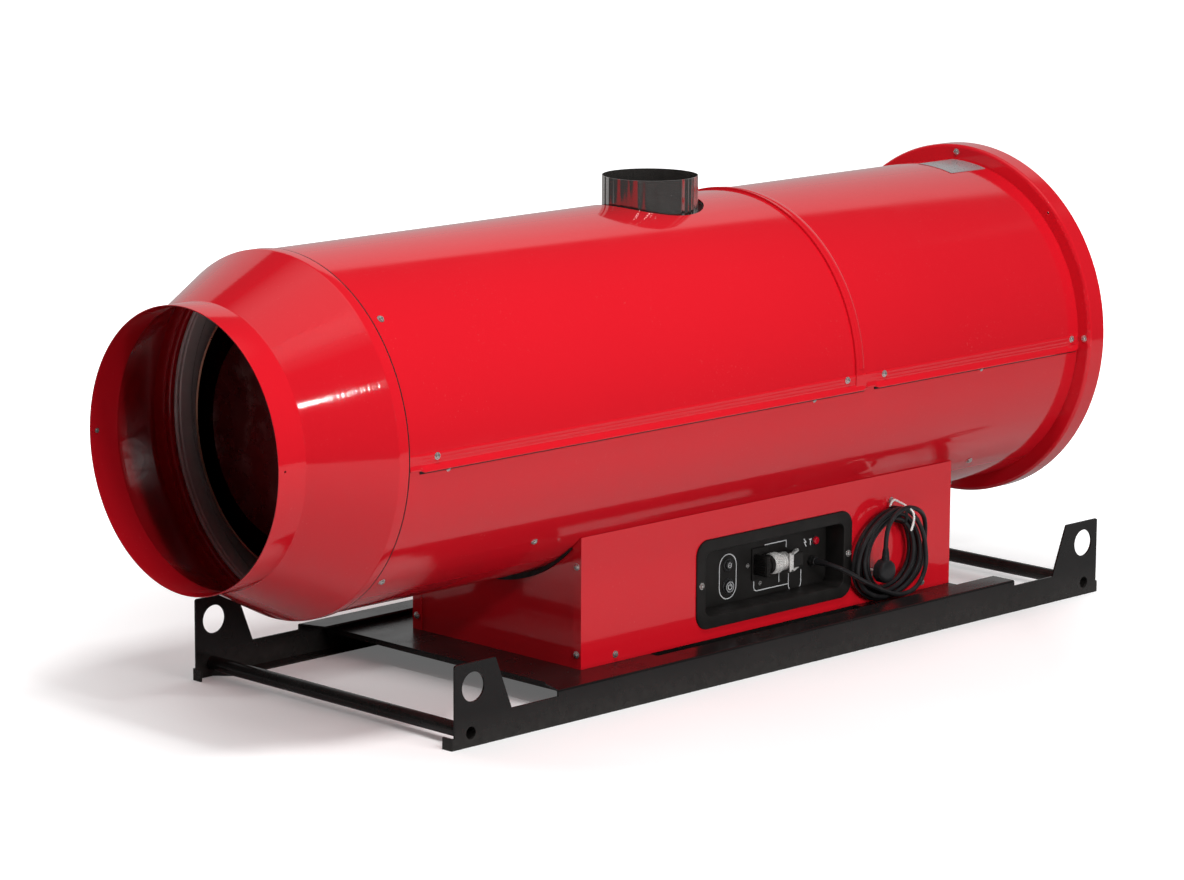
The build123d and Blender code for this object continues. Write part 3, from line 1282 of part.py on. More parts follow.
# Mounting frame
x_rail_end = x_lip + RAIL_OVERHANG
x_rail = x_rail_end - RAIL_LENGTH
x_flange_start = x_rail + RAIL_FLANGE_START
x_flange_end = x_flange_start + RAIL_FLANGE_LENGTH
inner_web = rail_half_width - RAIL_SHEET


def rail():
    """Front side rail: folded channel with a lifting ear at each end."""
    web_plane = Plane(origin=(0, -rail_half_width, 0), x_dir=(1, 0, 0), z_dir=(0, -1, 0))
    with BuildPart() as piece:
        with BuildSketch(web_plane):
            with BuildLine():
                Polyline(
                    (x_rail, 0),
                    (x_rail_end, 0),
                    (x_rail_end, EAR_HEIGHT),
                    (x_rail_end - EAR_TOP_WIDTH, EAR_HEIGHT),
                    (x_rail_end - EAR_BASE_WIDTH, RAIL_WEB_HEIGHT),
                    (x_flange_end, RAIL_WEB_HEIGHT),
                    (x_flange_end, RAIL_FLANGE_HEIGHT),
                    (x_flange_start, RAIL_FLANGE_HEIGHT),
                    (x_flange_start, RAIL_WEB_HEIGHT),
                    (x_rail + EAR_BASE_WIDTH, RAIL_WEB_HEIGHT),
                    (x_rail + EAR_TOP_WIDTH, EAR_HEIGHT),
                    (x_rail, EAR_HEIGHT),
                    close=True,
                )
            make_face()
            for x in (x_rail + EAR_HOLE_INSET, x_rail_end - EAR_HOLE_INSET):
                with Locations((x, EAR_HOLE_HEIGHT)):
                    Circle(EAR_HOLE_RADIUS, mode=Mode.SUBTRACT)
            for x in (x_rail + TUBE_INSET, x_rail_end - TUBE_INSET):
                with Locations((x, TUBE_HEIGHT)):
                    Circle(TUBE_BORE_RADIUS, mode=Mode.SUBTRACT)
        extrude(amount=-RAIL_SHEET)
        ear_tops = piece.edges().filter_by(Axis.Y).group_by(Axis.Z)[-1]
        fillet(ear_tops, EAR_CORNER)
        with BuildSketch(Plane.XY.offset(RAIL_FLANGE_HEIGHT)):
            with BuildLine():
                Polyline(
                    (x_flange_start, -rail_half_width),
                    (x_flange_end, -rail_half_width),
                    (x_flange_end, -rail_half_width + RAIL_FLANGE_DEPTH),
                    (x_flange_start + RAIL_FLANGE_CHAMFER, -rail_half_width + RAIL_FLANGE_DEPTH),
                    close=True,
                )
            make_face()
        extrude(amount=-RAIL_SHEET)
        top_fold = piece.edges().filter_by(Axis.X).filter_by_position(
            Axis.Z, RAIL_FLANGE_HEIGHT - FIT, RAIL_FLANGE_HEIGHT + FIT
        ).sort_by(Axis.Y)[0]
        fillet(top_fold, RAIL_FOLD)
        with BuildSketch(Plane.XY):
            with BuildLine():
                Polyline(
                    (x_rail + RAIL_FOOT_DEPTH, -rail_half_width),
                    (x_rail_end - RAIL_FOOT_DEPTH, -rail_half_width),
                    (x_rail_end - 2 * RAIL_FOOT_DEPTH, -rail_half_width + RAIL_FOOT_DEPTH),
                    (x_rail + 2 * RAIL_FOOT_DEPTH, -rail_half_width + RAIL_FOOT_DEPTH),
                    close=True,
                )
            make_face()
        extrude(amount=RAIL_SHEET)
        for x, direction in ((x_rail, -1), (x_rail_end, 1)):
            with BuildSketch(Plane.XY):
                with Locations((x + direction * TAB_STEP / 2, -rail_half_width + RAIL_SHEET / 2)):
                    Rectangle(TAB_STEP, RAIL_SHEET)
                tab_x = x + direction * (TAB_STEP - RAIL_SHEET / 2)
                with Locations((tab_x, -rail_half_width + TAB_DEPTH / 2)):
                    Rectangle(RAIL_SHEET, TAB_DEPTH)
            extrude(amount=TAB_HEIGHT)
        corners = piece.edges().filter_by(Axis.Z).group_by(Axis.X)
        for group in (corners[0], corners[-1]):
            fillet(group.sort_by(Axis.Y)[0], RAIL_FOLD)
    return piece


near_rail = rail()
keep("near_rail", near_rail)
with BuildPart() as far_rail:
    add(near_rail.part)
    mirror(about=Plane.XZ, mode=Mode.REPLACE)
keep("far_rail", far_rail)

side_plane = Plane(origin=(0, inner_web, 0), x_dir=(1, 0, 0), z_dir=(0, -1, 0))


def cross_tube(x):
    """Tube between the webs, its bore in line with the holes in the rails."""
    with BuildPart() as piece:
        with BuildSketch(side_plane):
            with Locations((x, TUBE_HEIGHT)):
                Circle(TUBE_RADIUS)
                Circle(TUBE_BORE_RADIUS, mode=Mode.SUBTRACT)
        extrude(amount=2 * inner_web)
    return piece


outlet_cross_tube = cross_tube(x_rail + TUBE_INSET)
keep("outlet_cross_tube", outlet_cross_tube)
fan_cross_tube = cross_tube(x_rail_end - TUBE_INSET)
keep("fan_cross_tube", fan_cross_tube)


def shelf(x, length, bolts):
    """Sheet shelf from web to web, with a fold down along each long edge."""
    with BuildPart() as piece:
        with BuildSketch(side_plane):
            with BuildLine():
                Polyline(
                    (x, BOX_BOTTOM),
                    (x + length, BOX_BOTTOM),
                    (x + length, BOX_BOTTOM - SHELF_FOLD),
                    (x + length - SHELF_SHEET, BOX_BOTTOM - SHELF_FOLD),
                    (x + length - SHELF_SHEET, BOX_BOTTOM - SHELF_SHEET),
                    (x + SHELF_SHEET, BOX_BOTTOM - SHELF_SHEET),
                    (x + SHELF_SHEET, BOX_BOTTOM - SHELF_FOLD),
                    (x, BOX_BOTTOM - SHELF_FOLD),
                    close=True,
                )
            make_face()
        extrude(amount=2 * inner_web)
        with BuildSketch(Plane.XY.offset(BOX_BOTTOM)):
            with Locations(*bolts):
                Circle(BOLT_RADIUS + FIT)
        extrude(amount=-SHELF_SHEET, mode=Mode.SUBTRACT)
    return piece


outlet_shelf = shelf(x_seam + FRONT_SHELF_START, FRONT_SHELF_LENGTH, bolt_places[:2])
keep("outlet_shelf", outlet_shelf)
fan_shelf = shelf(x_box_end - REAR_SHELF_LENGTH, REAR_SHELF_LENGTH, bolt_places[2:])
keep("fan_shelf", fan_shelf)

# Fasteners, one node for each kind of place
with BuildPart() as casing_screws:
    with Locations(*(cover_screw_planes + seam_screw_planes + lower_screw_planes + ring_screw_planes)):
        add(screw)
    with Locations(*shell_screw_planes):
        add(small_screw)
    with Locations(spigot_screw_plane):
        add(rivet)
keep("casing_screws", casing_screws)

with BuildPart() as box_screws:
    with Locations(*(front_screw_planes + back_screw_planes + end_screw_planes + bezel_screw_planes)):
        add(screw)
    with Locations(*floor_screw_planes):
        add(small_screw)
keep("box_screws", box_screws)

with BuildPart() as frame_bolts:
    with BuildSketch(Plane.XY.offset(BOX_BOTTOM - SHELF_SHEET)):
        with Locations(*bolt_places):
            RegularPolygon(BOLT_HEAD_RADIUS, 6)
    extrude(amount=-BOLT_HEAD_HEIGHT)
    with BuildSketch(Plane.XY.offset(BOX_BOTTOM - SHELF_SHEET)):
        with Locations(*bolt_places):
            Circle(BOLT_RADIUS)
    extrude(amount=SHELF_SHEET + SHEET + BOLT_HEAD_HEIGHT)
    with BuildSketch(Plane.XY.offset(BOX_BOTTOM + SHEET)):
        with Locations(*bolt_places):
            RegularPolygon(BOLT_HEAD_RADIUS, 6)
    extrude(amount=BOLT_HEAD_HEIGHT)
keep("frame_bolts", frame_bolts)

with BuildPart() as flange_bolts:
    with BuildSketch(across(x_flange + FLANGE_THICKNESS)):
        with PolarLocations(FLANGE_BOLT_REACH, 4, start_angle=45):
            RegularPolygon(BOLT_HEAD_RADIUS, 6)
    extrude(amount=BOLT_HEAD_HEIGHT)
    with BuildSketch(across(x_flange + FLANGE_THICKNESS)):
        with PolarLocations(FLANGE_BOLT_REACH, 4, start_angle=45):
            Circle(FLANGE_BOLT_RADIUS)
    extrude(amount=-(FLANGE_THICKNESS + CHAMBER_SHEET))
keep("flange_bolts", flange_bolts)

# Mains cord. The coil hangs before the front panel: in along the front layer, out along the back one.
cord_radius = CORD_DIAMETER / 2
coil_x = x_seam + COIL_CENTRE_STATION
coil_top_x = coil_x + COIL_LEAN
y_back_layer = y_front - COIL_BACK_GAP
y_front_layer = y_back_layer - COIL_LAYER_STEP
y_entry = y_front_layer - COIL_LAYER_STEP
reversal = COIL_HALF_TURNS // 2


def inward(i):
    """How many half turns in from the outermost one the crossing i lies."""
    return i if i <= reversal else COIL_HALF_TURNS + 1 - i


def crossing(i):
    """Point where the cord crosses the coil's bottom, for an even i, or its top, for an odd one."""
    if i == 0:
        return Vector(coil_x + COIL_ENTRY_SHIFT, y_entry, COIL_BOTTOM + COIL_ENTRY_RISE)
    y = y_entry if i == 1 else y_front_layer if i <= reversal else y_back_layer
    if i % 2 == 0:
        return Vector(coil_x - COIL_LEAN, y, COIL_BOTTOM + (inward(i) - 1) * COIL_PITCH)
    return Vector(coil_top_x, y, COIL_TOP - inward(i) * COIL_PITCH)


def widest(i):
    """Point at the coil's side halfway along the half turn i: on the right for an even i."""
    level = inward(i) / 2 + inward(i + 1) / 2
    draw = COIL_ENTRY_DRAW if i == 0 else 0
    reach = COIL_HALF_WIDTH - level * COIL_SIDE_PITCH - draw
    y = crossing(i).Y if i == 0 else (crossing(i).Y + crossing(i + 1).Y) / 2
    y = y_front_layer if i == 1 else y
    return Vector(coil_x + (reach if i % 2 == 0 else -reach), y, COIL_WIDEST + level * COIL_WIDEST_RISE)


def quarter_turn(flat, upright):
    """Two tangent arcs of an eighth turn each, from a level crossing to an upright side point."""
    wide = abs(upright.X - flat.X)
    high = abs(upright.Z - flat.Z)
    share = sqrt(1 / 2)
    flat_radius = ((1 + share) * wide - share * high)
    side_radius = ((1 + share) * high - share * wide)
    x_way = 1 if upright.X > flat.X else -1
    z_way = 1 if upright.Z > flat.Z else -1

    def place(x, z, part):
        """Point at x and z from the level end, that part of the way through the layers."""
        return Vector(flat.X + x_way * x, flat.Y + (upright.Y - flat.Y) * part, flat.Z + z_way * z)

    def on_flat(turn):
        return flat_radius * sin(turn), flat_radius * (1 - cos(turn))

    def on_side(turn):
        return wide - side_radius * (1 - sin(turn)), high - side_radius * cos(turn)

    eighth = pi / 4
    return [
        (flat, place(*on_flat(eighth / 2), 1 / 4), place(*on_flat(eighth), 1 / 2)),
        (place(*on_flat(eighth), 1 / 2), place(*on_side(eighth * 3 / 2), 3 / 4), upright),
    ]


coil_arcs = []
for i in range(COIL_HALF_TURNS):
    coil_arcs += quarter_turn(crossing(i), widest(i))
    coil_arcs += [arc[::-1] for arc in reversed(quarter_turn(crossing(i + 1), widest(i)))]
coil_arcs += quarter_turn(crossing(COIL_HALF_TURNS), widest(COIL_HALF_TURNS))
coil_start = coil_arcs[0][0]
coil_end = coil_arcs[-1][2]
with BuildPart() as cord_coil:
    with BuildLine() as coil_path:
        for arc in coil_arcs:
            ThreePointArc(*arc)
    with BuildSketch(Plane(coil_start, x_dir=(0, 1, 0), z_dir=(1, 0, 0))):
        Circle(cord_radius)
    sweep(path=coil_path.wire())
keep("cord_coil", cord_coil)


def bend_radii(points):
    """Radius of each bend: a share of the shorter run, divided by the tangent of half the turn."""
    radii = []
    for a, b, c in zip(points, points[1:], points[2:]):
        turn = (b - a).get_angle(c - b)
        shorter = min((b - a).length, (c - b).length)
        radii.append(BEND_SHARE * shorter * cos(radians(turn / 2)) / sin(radians(turn / 2)))
    return radii


# Lead from the gland's mouth to the coil's start: out of the tray in an arc, then down across the coil
gland_mouth = gland_plane.origin - Vector(0, GLAND_LENGTH, 0)
lead_points = [
    gland_mouth,
    gland_mouth + Vector(0, -17, 0),
    gland_mouth + Vector(5.5, -33, -3),
    gland_mouth + Vector(16.5, -46, -9.5),
    gland_mouth + Vector(31.5, -53.5, -19.5),
    gland_mouth + Vector(51.5, -55.5, -31.5),
    gland_mouth + Vector(80.5, -53.5, -45),
    gland_mouth + Vector(110, -51, -58),
    coil_start + Vector(-25, 0, 0),
    coil_start,
]
# Tail from the coil's end up and over its front, then down into the plug
plug_x = coil_x - CORD_PLUG_SHIFT
plug_z = CORD_PLUG_HEIGHT
y_plug_face = y_front_layer - cord_radius - FIT
y_neck = y_plug_face - CORD_PLUG_DEPTH / 2
neck_top_z = plug_z + CORD_PLUG_RADIUS + CORD_PLUG_NECK_LENGTH
tail_points = [
    coil_end,
    coil_end + Vector(0, -1.5, 22),
    coil_end + Vector(-6, -8.5, 46),
    coil_end + Vector(-19, -17.5, 67),
    coil_end + Vector(-38, -25, 83),
    coil_end + Vector(-62, -27, 93),
    coil_end + Vector(-87, -27, 93),
    coil_end + Vector(-109, -26, 80.5),
    Vector(plug_x, y_neck, neck_top_z + 23),
    Vector(plug_x, y_neck, neck_top_z),
]
tail_top = tail_points[5].Z


def cord_tube(points):
    """Round tube along straight runs joined by tangent arcs. Returns the part and its path."""
    radii = bend_radii(points)
    with BuildPart() as piece:
        with BuildLine() as path:
            FilletPolyline(*points, radius=radii)
        with BuildSketch(Plane(points[0], z_dir=points[1] - points[0])):
            Circle(cord_radius)
        sweep(path=path.wire())
    section = pi * cord_radius ** 2
    print("bend radii", [round(r, 1) for r in radii])
    print("volume against section times length", round(piece.part.volume / section / path.wire().length, 5))
    return piece, path.wire()


cord_lead, lead_path = cord_tube(lead_points)
keep("cord_lead", cord_lead)
cord_tail, tail_path = cord_tube(tail_points)
keep("cord_tail", cord_tail)

# Angled plug hanging inside the coil, its pins towards the panel
plug_face = Plane(origin=(plug_x, y_plug_face, plug_z), x_dir=(1, 0, 0), z_dir=(0, -1, 0))
with BuildPart() as cord_plug:
    with BuildSketch(plug_face):
        Circle(CORD_PLUG_RADIUS)
    extrude(amount=CORD_PLUG_DEPTH)
    fillet(cord_plug.edges().group_by(Axis.Y)[0], CORD_PLUG_DEPTH / 3)
    with BuildSketch(Plane(origin=(plug_x, y_neck, neck_top_z), x_dir=(1, 0, 0), z_dir=(0, 0, -1))):
        Circle(cord_radius + SHEET / 2)
    with BuildSketch(Plane(origin=(plug_x, y_neck, plug_z), x_dir=(1, 0, 0), z_dir=(0, 0, -1))):
        Circle(CORD_PLUG_NECK_RADIUS)
    loft()
    with BuildSketch(plug_face):
        with Locations((-CORD_PIN_SPACING / 2, 0), (CORD_PIN_SPACING / 2, 0)):
            Circle(CORD_PIN_RADIUS)
    extrude(amount=-CORD_PIN_LENGTH)
keep("cord_plug", cord_plug)

# Tie: a wire loop round the coil's top and a twisted stem up to the screw above it
tie_low = crossing(reversal).Z - cord_radius - TIE_CLEARANCE
tie_high = tail_top + cord_radius + TIE_CLEARANCE
tie_back = y_back_layer + cord_radius + TIE_CLEARANCE
tie_front = tail_points[5].Y - cord_radius - TIE_CLEARANCE
tie_middle = ((tie_back + tie_front) / 2, (tie_low + tie_high) / 2)
y_stem = y_front - SCREW_FLANGE_HEIGHT - SCREW_HEAD_HEIGHT - TIE_WIRE_RADIUS
with BuildPart() as cord_tie:
    loop_width = tie_back - tie_front
    loop_height = tie_high - tie_low
    wire = 2 * TIE_WIRE_RADIUS
    with BuildSketch(Plane(origin=(coil_top_x, *tie_middle), x_dir=(0, 1, 0), z_dir=(1, 0, 0))):
        RectangleRounded(loop_width + wire, loop_height + wire, cord_radius)
        RectangleRounded(loop_width - wire, loop_height - wire, cord_radius - wire, mode=Mode.SUBTRACT)
    extrude(amount=TIE_WIRE_RADIUS, both=True)
    with BuildSketch(Plane(origin=(coil_top_x, y_stem, z_hook), x_dir=(0, 1, 0), z_dir=(1, 0, 0))):
        Circle(TIE_WIRE_RADIUS)
    extrude(amount=HOOK_OFFSET + SCREW_HEAD_RADIUS)
keep("cord_tie", cord_tie)

# Least gap between the coil's turns, measured on points along its path
coil_wire = coil_path.wire()
samples = [coil_wire @ (i / GAP_SAMPLES) for i in range(GAP_SAMPLES + 1)]
half_turn = round(GAP_SAMPLES / (COIL_HALF_TURNS + 1 / 2))
least = min(
    (samples[i] - samples[j]).length
    for i in range(GAP_SAMPLES)
    for j in range(i + half_turn, GAP_SAMPLES + 1)
)
print("coil length", round(coil_wire.length), "least gap", round(least - CORD_DIAMETER, 2))
print("cord length", round(coil_wire.length + lead_path.length + tail_path.length))

os.makedirs("parts", exist_ok=True)
for name, piece in pieces.items():
    piece.part.label = name
    export_step(piece.part, f"parts/{name}.step")
print(len(pieces), "nodes")
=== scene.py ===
import json
import random
from math import cos, pi, radians, sin, tan

import bmesh
import bpy
import numpy as np
from mathutils import Matrix, Vector


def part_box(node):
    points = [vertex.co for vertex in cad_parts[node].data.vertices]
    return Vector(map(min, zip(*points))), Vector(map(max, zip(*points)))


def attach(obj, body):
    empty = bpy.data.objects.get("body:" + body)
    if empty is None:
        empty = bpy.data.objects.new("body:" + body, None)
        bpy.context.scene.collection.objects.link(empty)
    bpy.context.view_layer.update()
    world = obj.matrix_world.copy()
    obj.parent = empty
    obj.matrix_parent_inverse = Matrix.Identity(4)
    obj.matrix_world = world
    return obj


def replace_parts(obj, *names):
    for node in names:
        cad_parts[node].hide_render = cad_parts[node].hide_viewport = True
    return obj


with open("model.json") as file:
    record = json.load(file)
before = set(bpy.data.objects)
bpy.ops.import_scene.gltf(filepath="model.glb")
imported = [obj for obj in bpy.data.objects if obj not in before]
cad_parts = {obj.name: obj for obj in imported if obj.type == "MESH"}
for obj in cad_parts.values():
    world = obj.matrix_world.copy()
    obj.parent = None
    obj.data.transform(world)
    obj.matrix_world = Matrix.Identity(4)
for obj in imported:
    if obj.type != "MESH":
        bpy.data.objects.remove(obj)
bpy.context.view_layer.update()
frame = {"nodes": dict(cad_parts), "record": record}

random.seed(7)
MM = 0.001

# Places read from the frame
cone_low, cone_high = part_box("outlet_cone")
axis_z = (cone_low.z + cone_high.z) / 2
front_low, front_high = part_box("box_front_panel")
gland_low, gland_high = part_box("cable_gland")
socket_low, socket_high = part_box("thermostat_socket")


def middle(node):
    """Centre of a node's box."""
    low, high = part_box(node)
    return (low + high) / 2


# Materials

NOISE_LOW, NOISE_HIGH = 0.3, 0.7


def add_node(tree, kind, values=None, links=None, **settings):
    """Shader node with its settings, socket values and incoming links."""
    node = tree.nodes.new("ShaderNode" + kind)
    for name, value in settings.items():
        setattr(node, name, value)
    for socket, value in (values or {}).items():
        node.inputs[socket].default_value = value
    for socket, source in (links or {}).items():
        tree.links.new(source, node.inputs[socket])
    return node


def map_range(tree, value, low, high, to_low=0.0, to_high=1.0):
    """Map a value's range from low..high to to_low..to_high, clamped."""
    numbers = {"From Min": low, "From Max": high, "To Min": to_low, "To Max": to_high}
    return add_node(tree, "MapRange", numbers, {"Value": value}).outputs["Result"]


def combined(tree, operation, a, b):
    """Two values joined by a math operation."""
    return add_node(tree, "Math", links={0: a, 1: b}, operation=operation).outputs["Value"]


class Paint:
    """A Principled material and short calls for the nodes that vary it, all in object space."""

    def __init__(self, name, colour, roughness, metallic=0.0):
        self.material = bpy.data.materials.new(name)
        self.material.use_nodes = True
        self.tree = self.material.node_tree
        self.shader = self.tree.nodes["Principled BSDF"]
        self.set("Base Color", (*colour, 1))
        self.set("Roughness", roughness)
        self.set("Metallic", metallic)
        self.colour = colour
        self.coords = add_node(self.tree, "TexCoord").outputs["Object"]
        self.relief = None

    def set(self, socket, value):
        self.shader.inputs[socket].default_value = value

    def link(self, source, socket):
        """Feed one of the shader's sockets."""
        self.tree.links.new(source, self.shader.inputs[socket])

    def placed(self, kind, values=None, coords=None):
        """Node fed with coordinates."""
        return add_node(self.tree, kind, values, {"Vector": coords or self.coords})

    def stretched(self, scale):
        """The coordinates scaled by a vector, for streaks and brushing."""
        return self.placed("Mapping", {"Scale": scale}).outputs["Vector"]

    def noise(self, scale, detail, coords=None, roughness=0.5):
        values = {"Scale": scale, "Detail": detail, "Roughness": roughness}
        return self.placed("TexNoise", values, coords).outputs["Fac"]

    def cells(self, scale):
        return self.placed("TexVoronoi", {"Scale": scale}).outputs["Distance"]

    def span(self, value, low, high, to_low=0.0, to_high=1.0):
        return map_range(self.tree, value, low, high, to_low, to_high)

    def times(self, a, b):
        return combined(self.tree, "MULTIPLY", a, b)

    def along(self, axis):
        """One of the coordinates, X, Y or Z."""
        return self.placed("SeparateXYZ").outputs[axis]

    def tint(self, factor, colour):
        """Lay another colour over the base by a factor."""
        links = {"Factor": factor}
        below = self.shader.inputs["Base Color"].links
        if below:
            links["A"] = below[0].from_socket
        values = {"A": (*self.colour, 1), "B": (*colour, 1)}
        node = add_node(self.tree, "Mix", values, links, data_type="RGBA")
        self.link(node.outputs["Result"], "Base Color")

    def blotches(self, scale, detail, low, high, most, colour):
        """Tint where a noise rises from low to high, by up to most."""
        self.tint(self.span(self.noise(scale, detail), low, high, 0.0, most), colour)

    def rough(self, value, to_low, to_high, high=NOISE_HIGH):
        """Let the roughness follow a noise between two values."""
        self.link(self.span(value, NOISE_LOW, high, to_low, to_high), "Roughness")

    def bump(self, height, strength, distance):
        """Relief on top of what is there."""
        links = {"Height": height}
        if self.relief:
            links["Normal"] = self.relief
        values = {"Strength": strength, "Distance": distance}
        self.relief = add_node(self.tree, "Bump", values, links).outputs["Normal"]
        self.link(self.relief, "Normal")


def make_red_paint(name="red_paint", spun=False):
    """Glossy enamel on rolled sheet: faint orange peel, a little dust, and on spun sheet fine rings."""
    p = Paint(name, (0.60, 0.0075, 0.016), 0.1)
    p.set("Coat Weight", 0.4)
    p.set("Coat Roughness", 0.03)
    p.blotches(1.6, 2, 0.35, 0.7, 0.35, (0.52, 0.0060, 0.014))
    dust = p.times(p.span(p.noise(260, 2), 0.66, 0.74), p.span(p.noise(9, 3), 0.45, 0.7, 0, 0.10))
    p.tint(dust, (0.75, 0.30, 0.28))
    p.rough(p.noise(14, 4), 0.06, 0.13, 0.75)
    if spun:
        p.bump(p.noise(1, 2, p.stretched((260, 0.4, 0.4))), 0.34, 0.0004)
    p.bump(p.noise(2.2, 1), 0.10, 0.003)
    p.bump(p.noise(420, 2), 0.10, 0.0001)
    return p.material


def make_black_paint():
    """Semi-gloss powder coat with a fine texture, pale scuffs and a little floor dust low down."""
    p = Paint("black_paint", (0.007, 0.0063, 0.0063), 0.3)
    p.set("Specular IOR Level", 0.34)
    p.blotches(5, 4, 0.4, 0.75, 0.5, (0.016, 0.0145, 0.014))
    scuffs = p.times(
        p.span(p.noise(38, 6, p.stretched((0.35, 1.0, 3.0)), 0.7), 0.66, 0.72),
        p.span(p.noise(3, 2), 0.48, 0.62, 0, 0.22),
    )
    p.tint(scuffs, (0.16, 0.15, 0.145))
    p.tint(p.times(p.span(p.along("Z"), 0.0, 0.05, 0.25, 0.0), p.noise(70, 4)), (0.11, 0.10, 0.09))
    p.rough(p.noise(22, 3), 0.17, 0.3)
    p.bump(p.noise(900, 2), 0.16, 0.0001)
    return p.material


def make_tray_plastic():
    """Matte black moulding with a spark-eroded grain."""
    p = Paint("tray_plastic", (0.010, 0.0093, 0.0088), 0.5)
    p.set("Specular IOR Level", 0.36)
    p.blotches(30, 4, 0.45, 0.8, 0.5, (0.026, 0.024, 0.023))
    p.rough(p.noise(60, 3), 0.40, 0.58)
    p.bump(p.cells(1500), 0.12, 0.0001)
    return p.material


def make_button_plastic():
    """Smoother black caps with wear where a finger rubs."""
    p = Paint("button_plastic", (0.02, 0.02, 0.021), 0.28)
    p.blotches(90, 3, 0.5, 0.75, 0.5, (0.05, 0.05, 0.05))
    p.rough(p.noise(120, 3), 0.2, 0.38)
    return p.material


def make_polished_stainless():
    """Bright rolled stainless with fine grain round the collar and a faint heat tint."""
    p = Paint("polished_stainless", (0.58, 0.55, 0.53), 0.13, 0.97)
    grain = p.noise(60, 3, p.stretched((1.0, 1.0, 26.0)))
    p.blotches(9, 3, 0.45, 0.75, 0.5, (0.40, 0.34, 0.30))
    p.rough(grain, 0.07, 0.16)
    p.bump(p.noise(34, 2, p.stretched((1.0, 1.0, 0.03))), 0.8, 0.02)
    p.bump(grain, 0.04, 0.0001)
    return p.material


def make_sheet_steel(name, colour, tint, roughness):
    """Rolled steel sheet: brushing along X, blotches of heat tint and soot."""
    p = Paint(name, colour, roughness, 1.0)
    p.blotches(7, 5, 0.42, 0.7, 1.0, tint)
    p.blotches(34, 5, 0.60, 0.85, 0.6, tuple(c * 0.35 for c in colour))
    p.rough(p.noise(40, 4, p.stretched((0.2, 3.0, 3.0))), roughness * 0.7, roughness * 1.3)
    p.bump(p.noise(90, 3, p.stretched((0.15, 4.0, 4.0))), 0.10, 0.0002)
    return p.material


def make_drum_steel():
    """Steel exchanger, blackened by heat on the end that faces the outlet."""
    p = Paint("drum_steel", (0.22, 0.19, 0.17), 0.34, 1.0)
    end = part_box("exchanger_drum")[0].x
    p.blotches(11, 5, 0.5, 0.8, 0.6, (0.07, 0.06, 0.055))
    p.tint(p.span(p.along("X"), end + 16 * MM, end + 13 * MM), (0.012, 0.010, 0.009))
    p.rough(p.noise(30, 4), 0.2, 0.42)
    p.bump(p.noise(60, 3), 0.08, 0.0003)
    return p.material


def make_heated_rim():
    """Coppery heat colour on the exchanger's rim, darker in places."""
    p = Paint("heated_rim", (0.34, 0.16, 0.11), 0.32, 0.8)
    p.blotches(26, 4, 0.45, 0.75, 0.7, (0.22, 0.12, 0.09))
    p.rough(p.noise(60, 3), 0.25, 0.42)
    p.bump(p.noise(120, 3), 0.1, 0.0002)
    return p.material


def make_liner_steel():
    """Liner sheet: brushed round the axis, grey with a pink and brown heat tint, and darker further in."""
    p = Paint("liner_steel", (0.94, 0.85, 0.84), 0.38, 0.1)
    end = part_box("inner_duct")[0].x
    p.blotches(5, 4, 0.4, 0.7, 0.5, (0.72, 0.56, 0.54))
    p.tint(p.span(p.along("X"), end + 7 * MM, end + 12 * MM, 0.0, 0.3), (0.72, 0.58, 0.56))
    # Darker further into the duct, from 40 to 120 mm past its front edge
    p.tint(p.span(p.along("X"), end + 40 * MM, end + 120 * MM, 0.0, 0.9), (0.02, 0.018, 0.017))
    grain = p.noise(1, 3, p.stretched((900, 5, 5)))
    p.rough(grain, 0.3, 0.5)
    p.bump(grain, 0.12, 0.0002)
    return p.material


def make_chamber_face():
    """Dark oxide coat, glossy, with dusty smudges."""
    p = Paint("chamber_face", (0.050, 0.0075, 0.0075), 0.2)
    p.set("Coat Weight", 0.6)
    smudges = p.times(p.span(p.noise(28, 6), 0.5, 0.74, 0.0, 0.6), p.span(p.noise(6, 2), 0.38, 0.6))
    p.tint(smudges, (0.20, 0.13, 0.12))
    p.rough(p.noise(24, 5), 0.16, 0.42, 0.75)
    p.bump(p.noise(7, 2), 0.15, 0.003)
    return p.material


def make_metal(name, colour, roughness, grain=220.0, depth=0.06, metallic=1.0):
    """Plain metal with a fine grain and slight blotches."""
    p = Paint(name, colour, roughness, metallic)
    p.blotches(60, 4, 0.45, 0.8, 0.7, tuple(c * 0.72 for c in colour))
    p.rough(p.noise(grain, 3), roughness * 0.7, roughness * 1.35)
    p.bump(p.noise(grain * 2, 2), depth, 0.0001)
    return p.material


def make_coating(name, colour, roughness, spots=0.3):
    """Plain painted or moulded surface with slight unevenness."""
    p = Paint(name, colour, roughness)
    p.blotches(40, 4, 0.45, 0.8, spots, tuple(min(1.0, c * 1.8 + 0.01) for c in colour))
    p.rough(p.noise(80, 3), roughness * 0.8, roughness * 1.2)
    p.bump(p.noise(700, 2), 0.08, 0.0001)
    return p.material


def make_red_lens():
    p = Paint("red_lens", (0.62, 0.004, 0.02), 0.12)
    p.set("Transmission Weight", 0.35)
    p.set("Coat Weight", 1.0)
    p.rough(p.noise(200, 2), 0.08, 0.16)
    return p.material


def make_cord_rubber():
    """Black sheath, semi-matte, with bloom and faint rings from extrusion."""
    p = Paint("cord_rubber", (0.012, 0.012, 0.013), 0.36)
    p.blotches(45, 4, 0.5, 0.8, 0.55, (0.035, 0.034, 0.034))
    p.rough(p.noise(70, 4), 0.28, 0.46)
    p.bump(p.noise(1100, 2), 0.10, 0.0001)
    return p.material


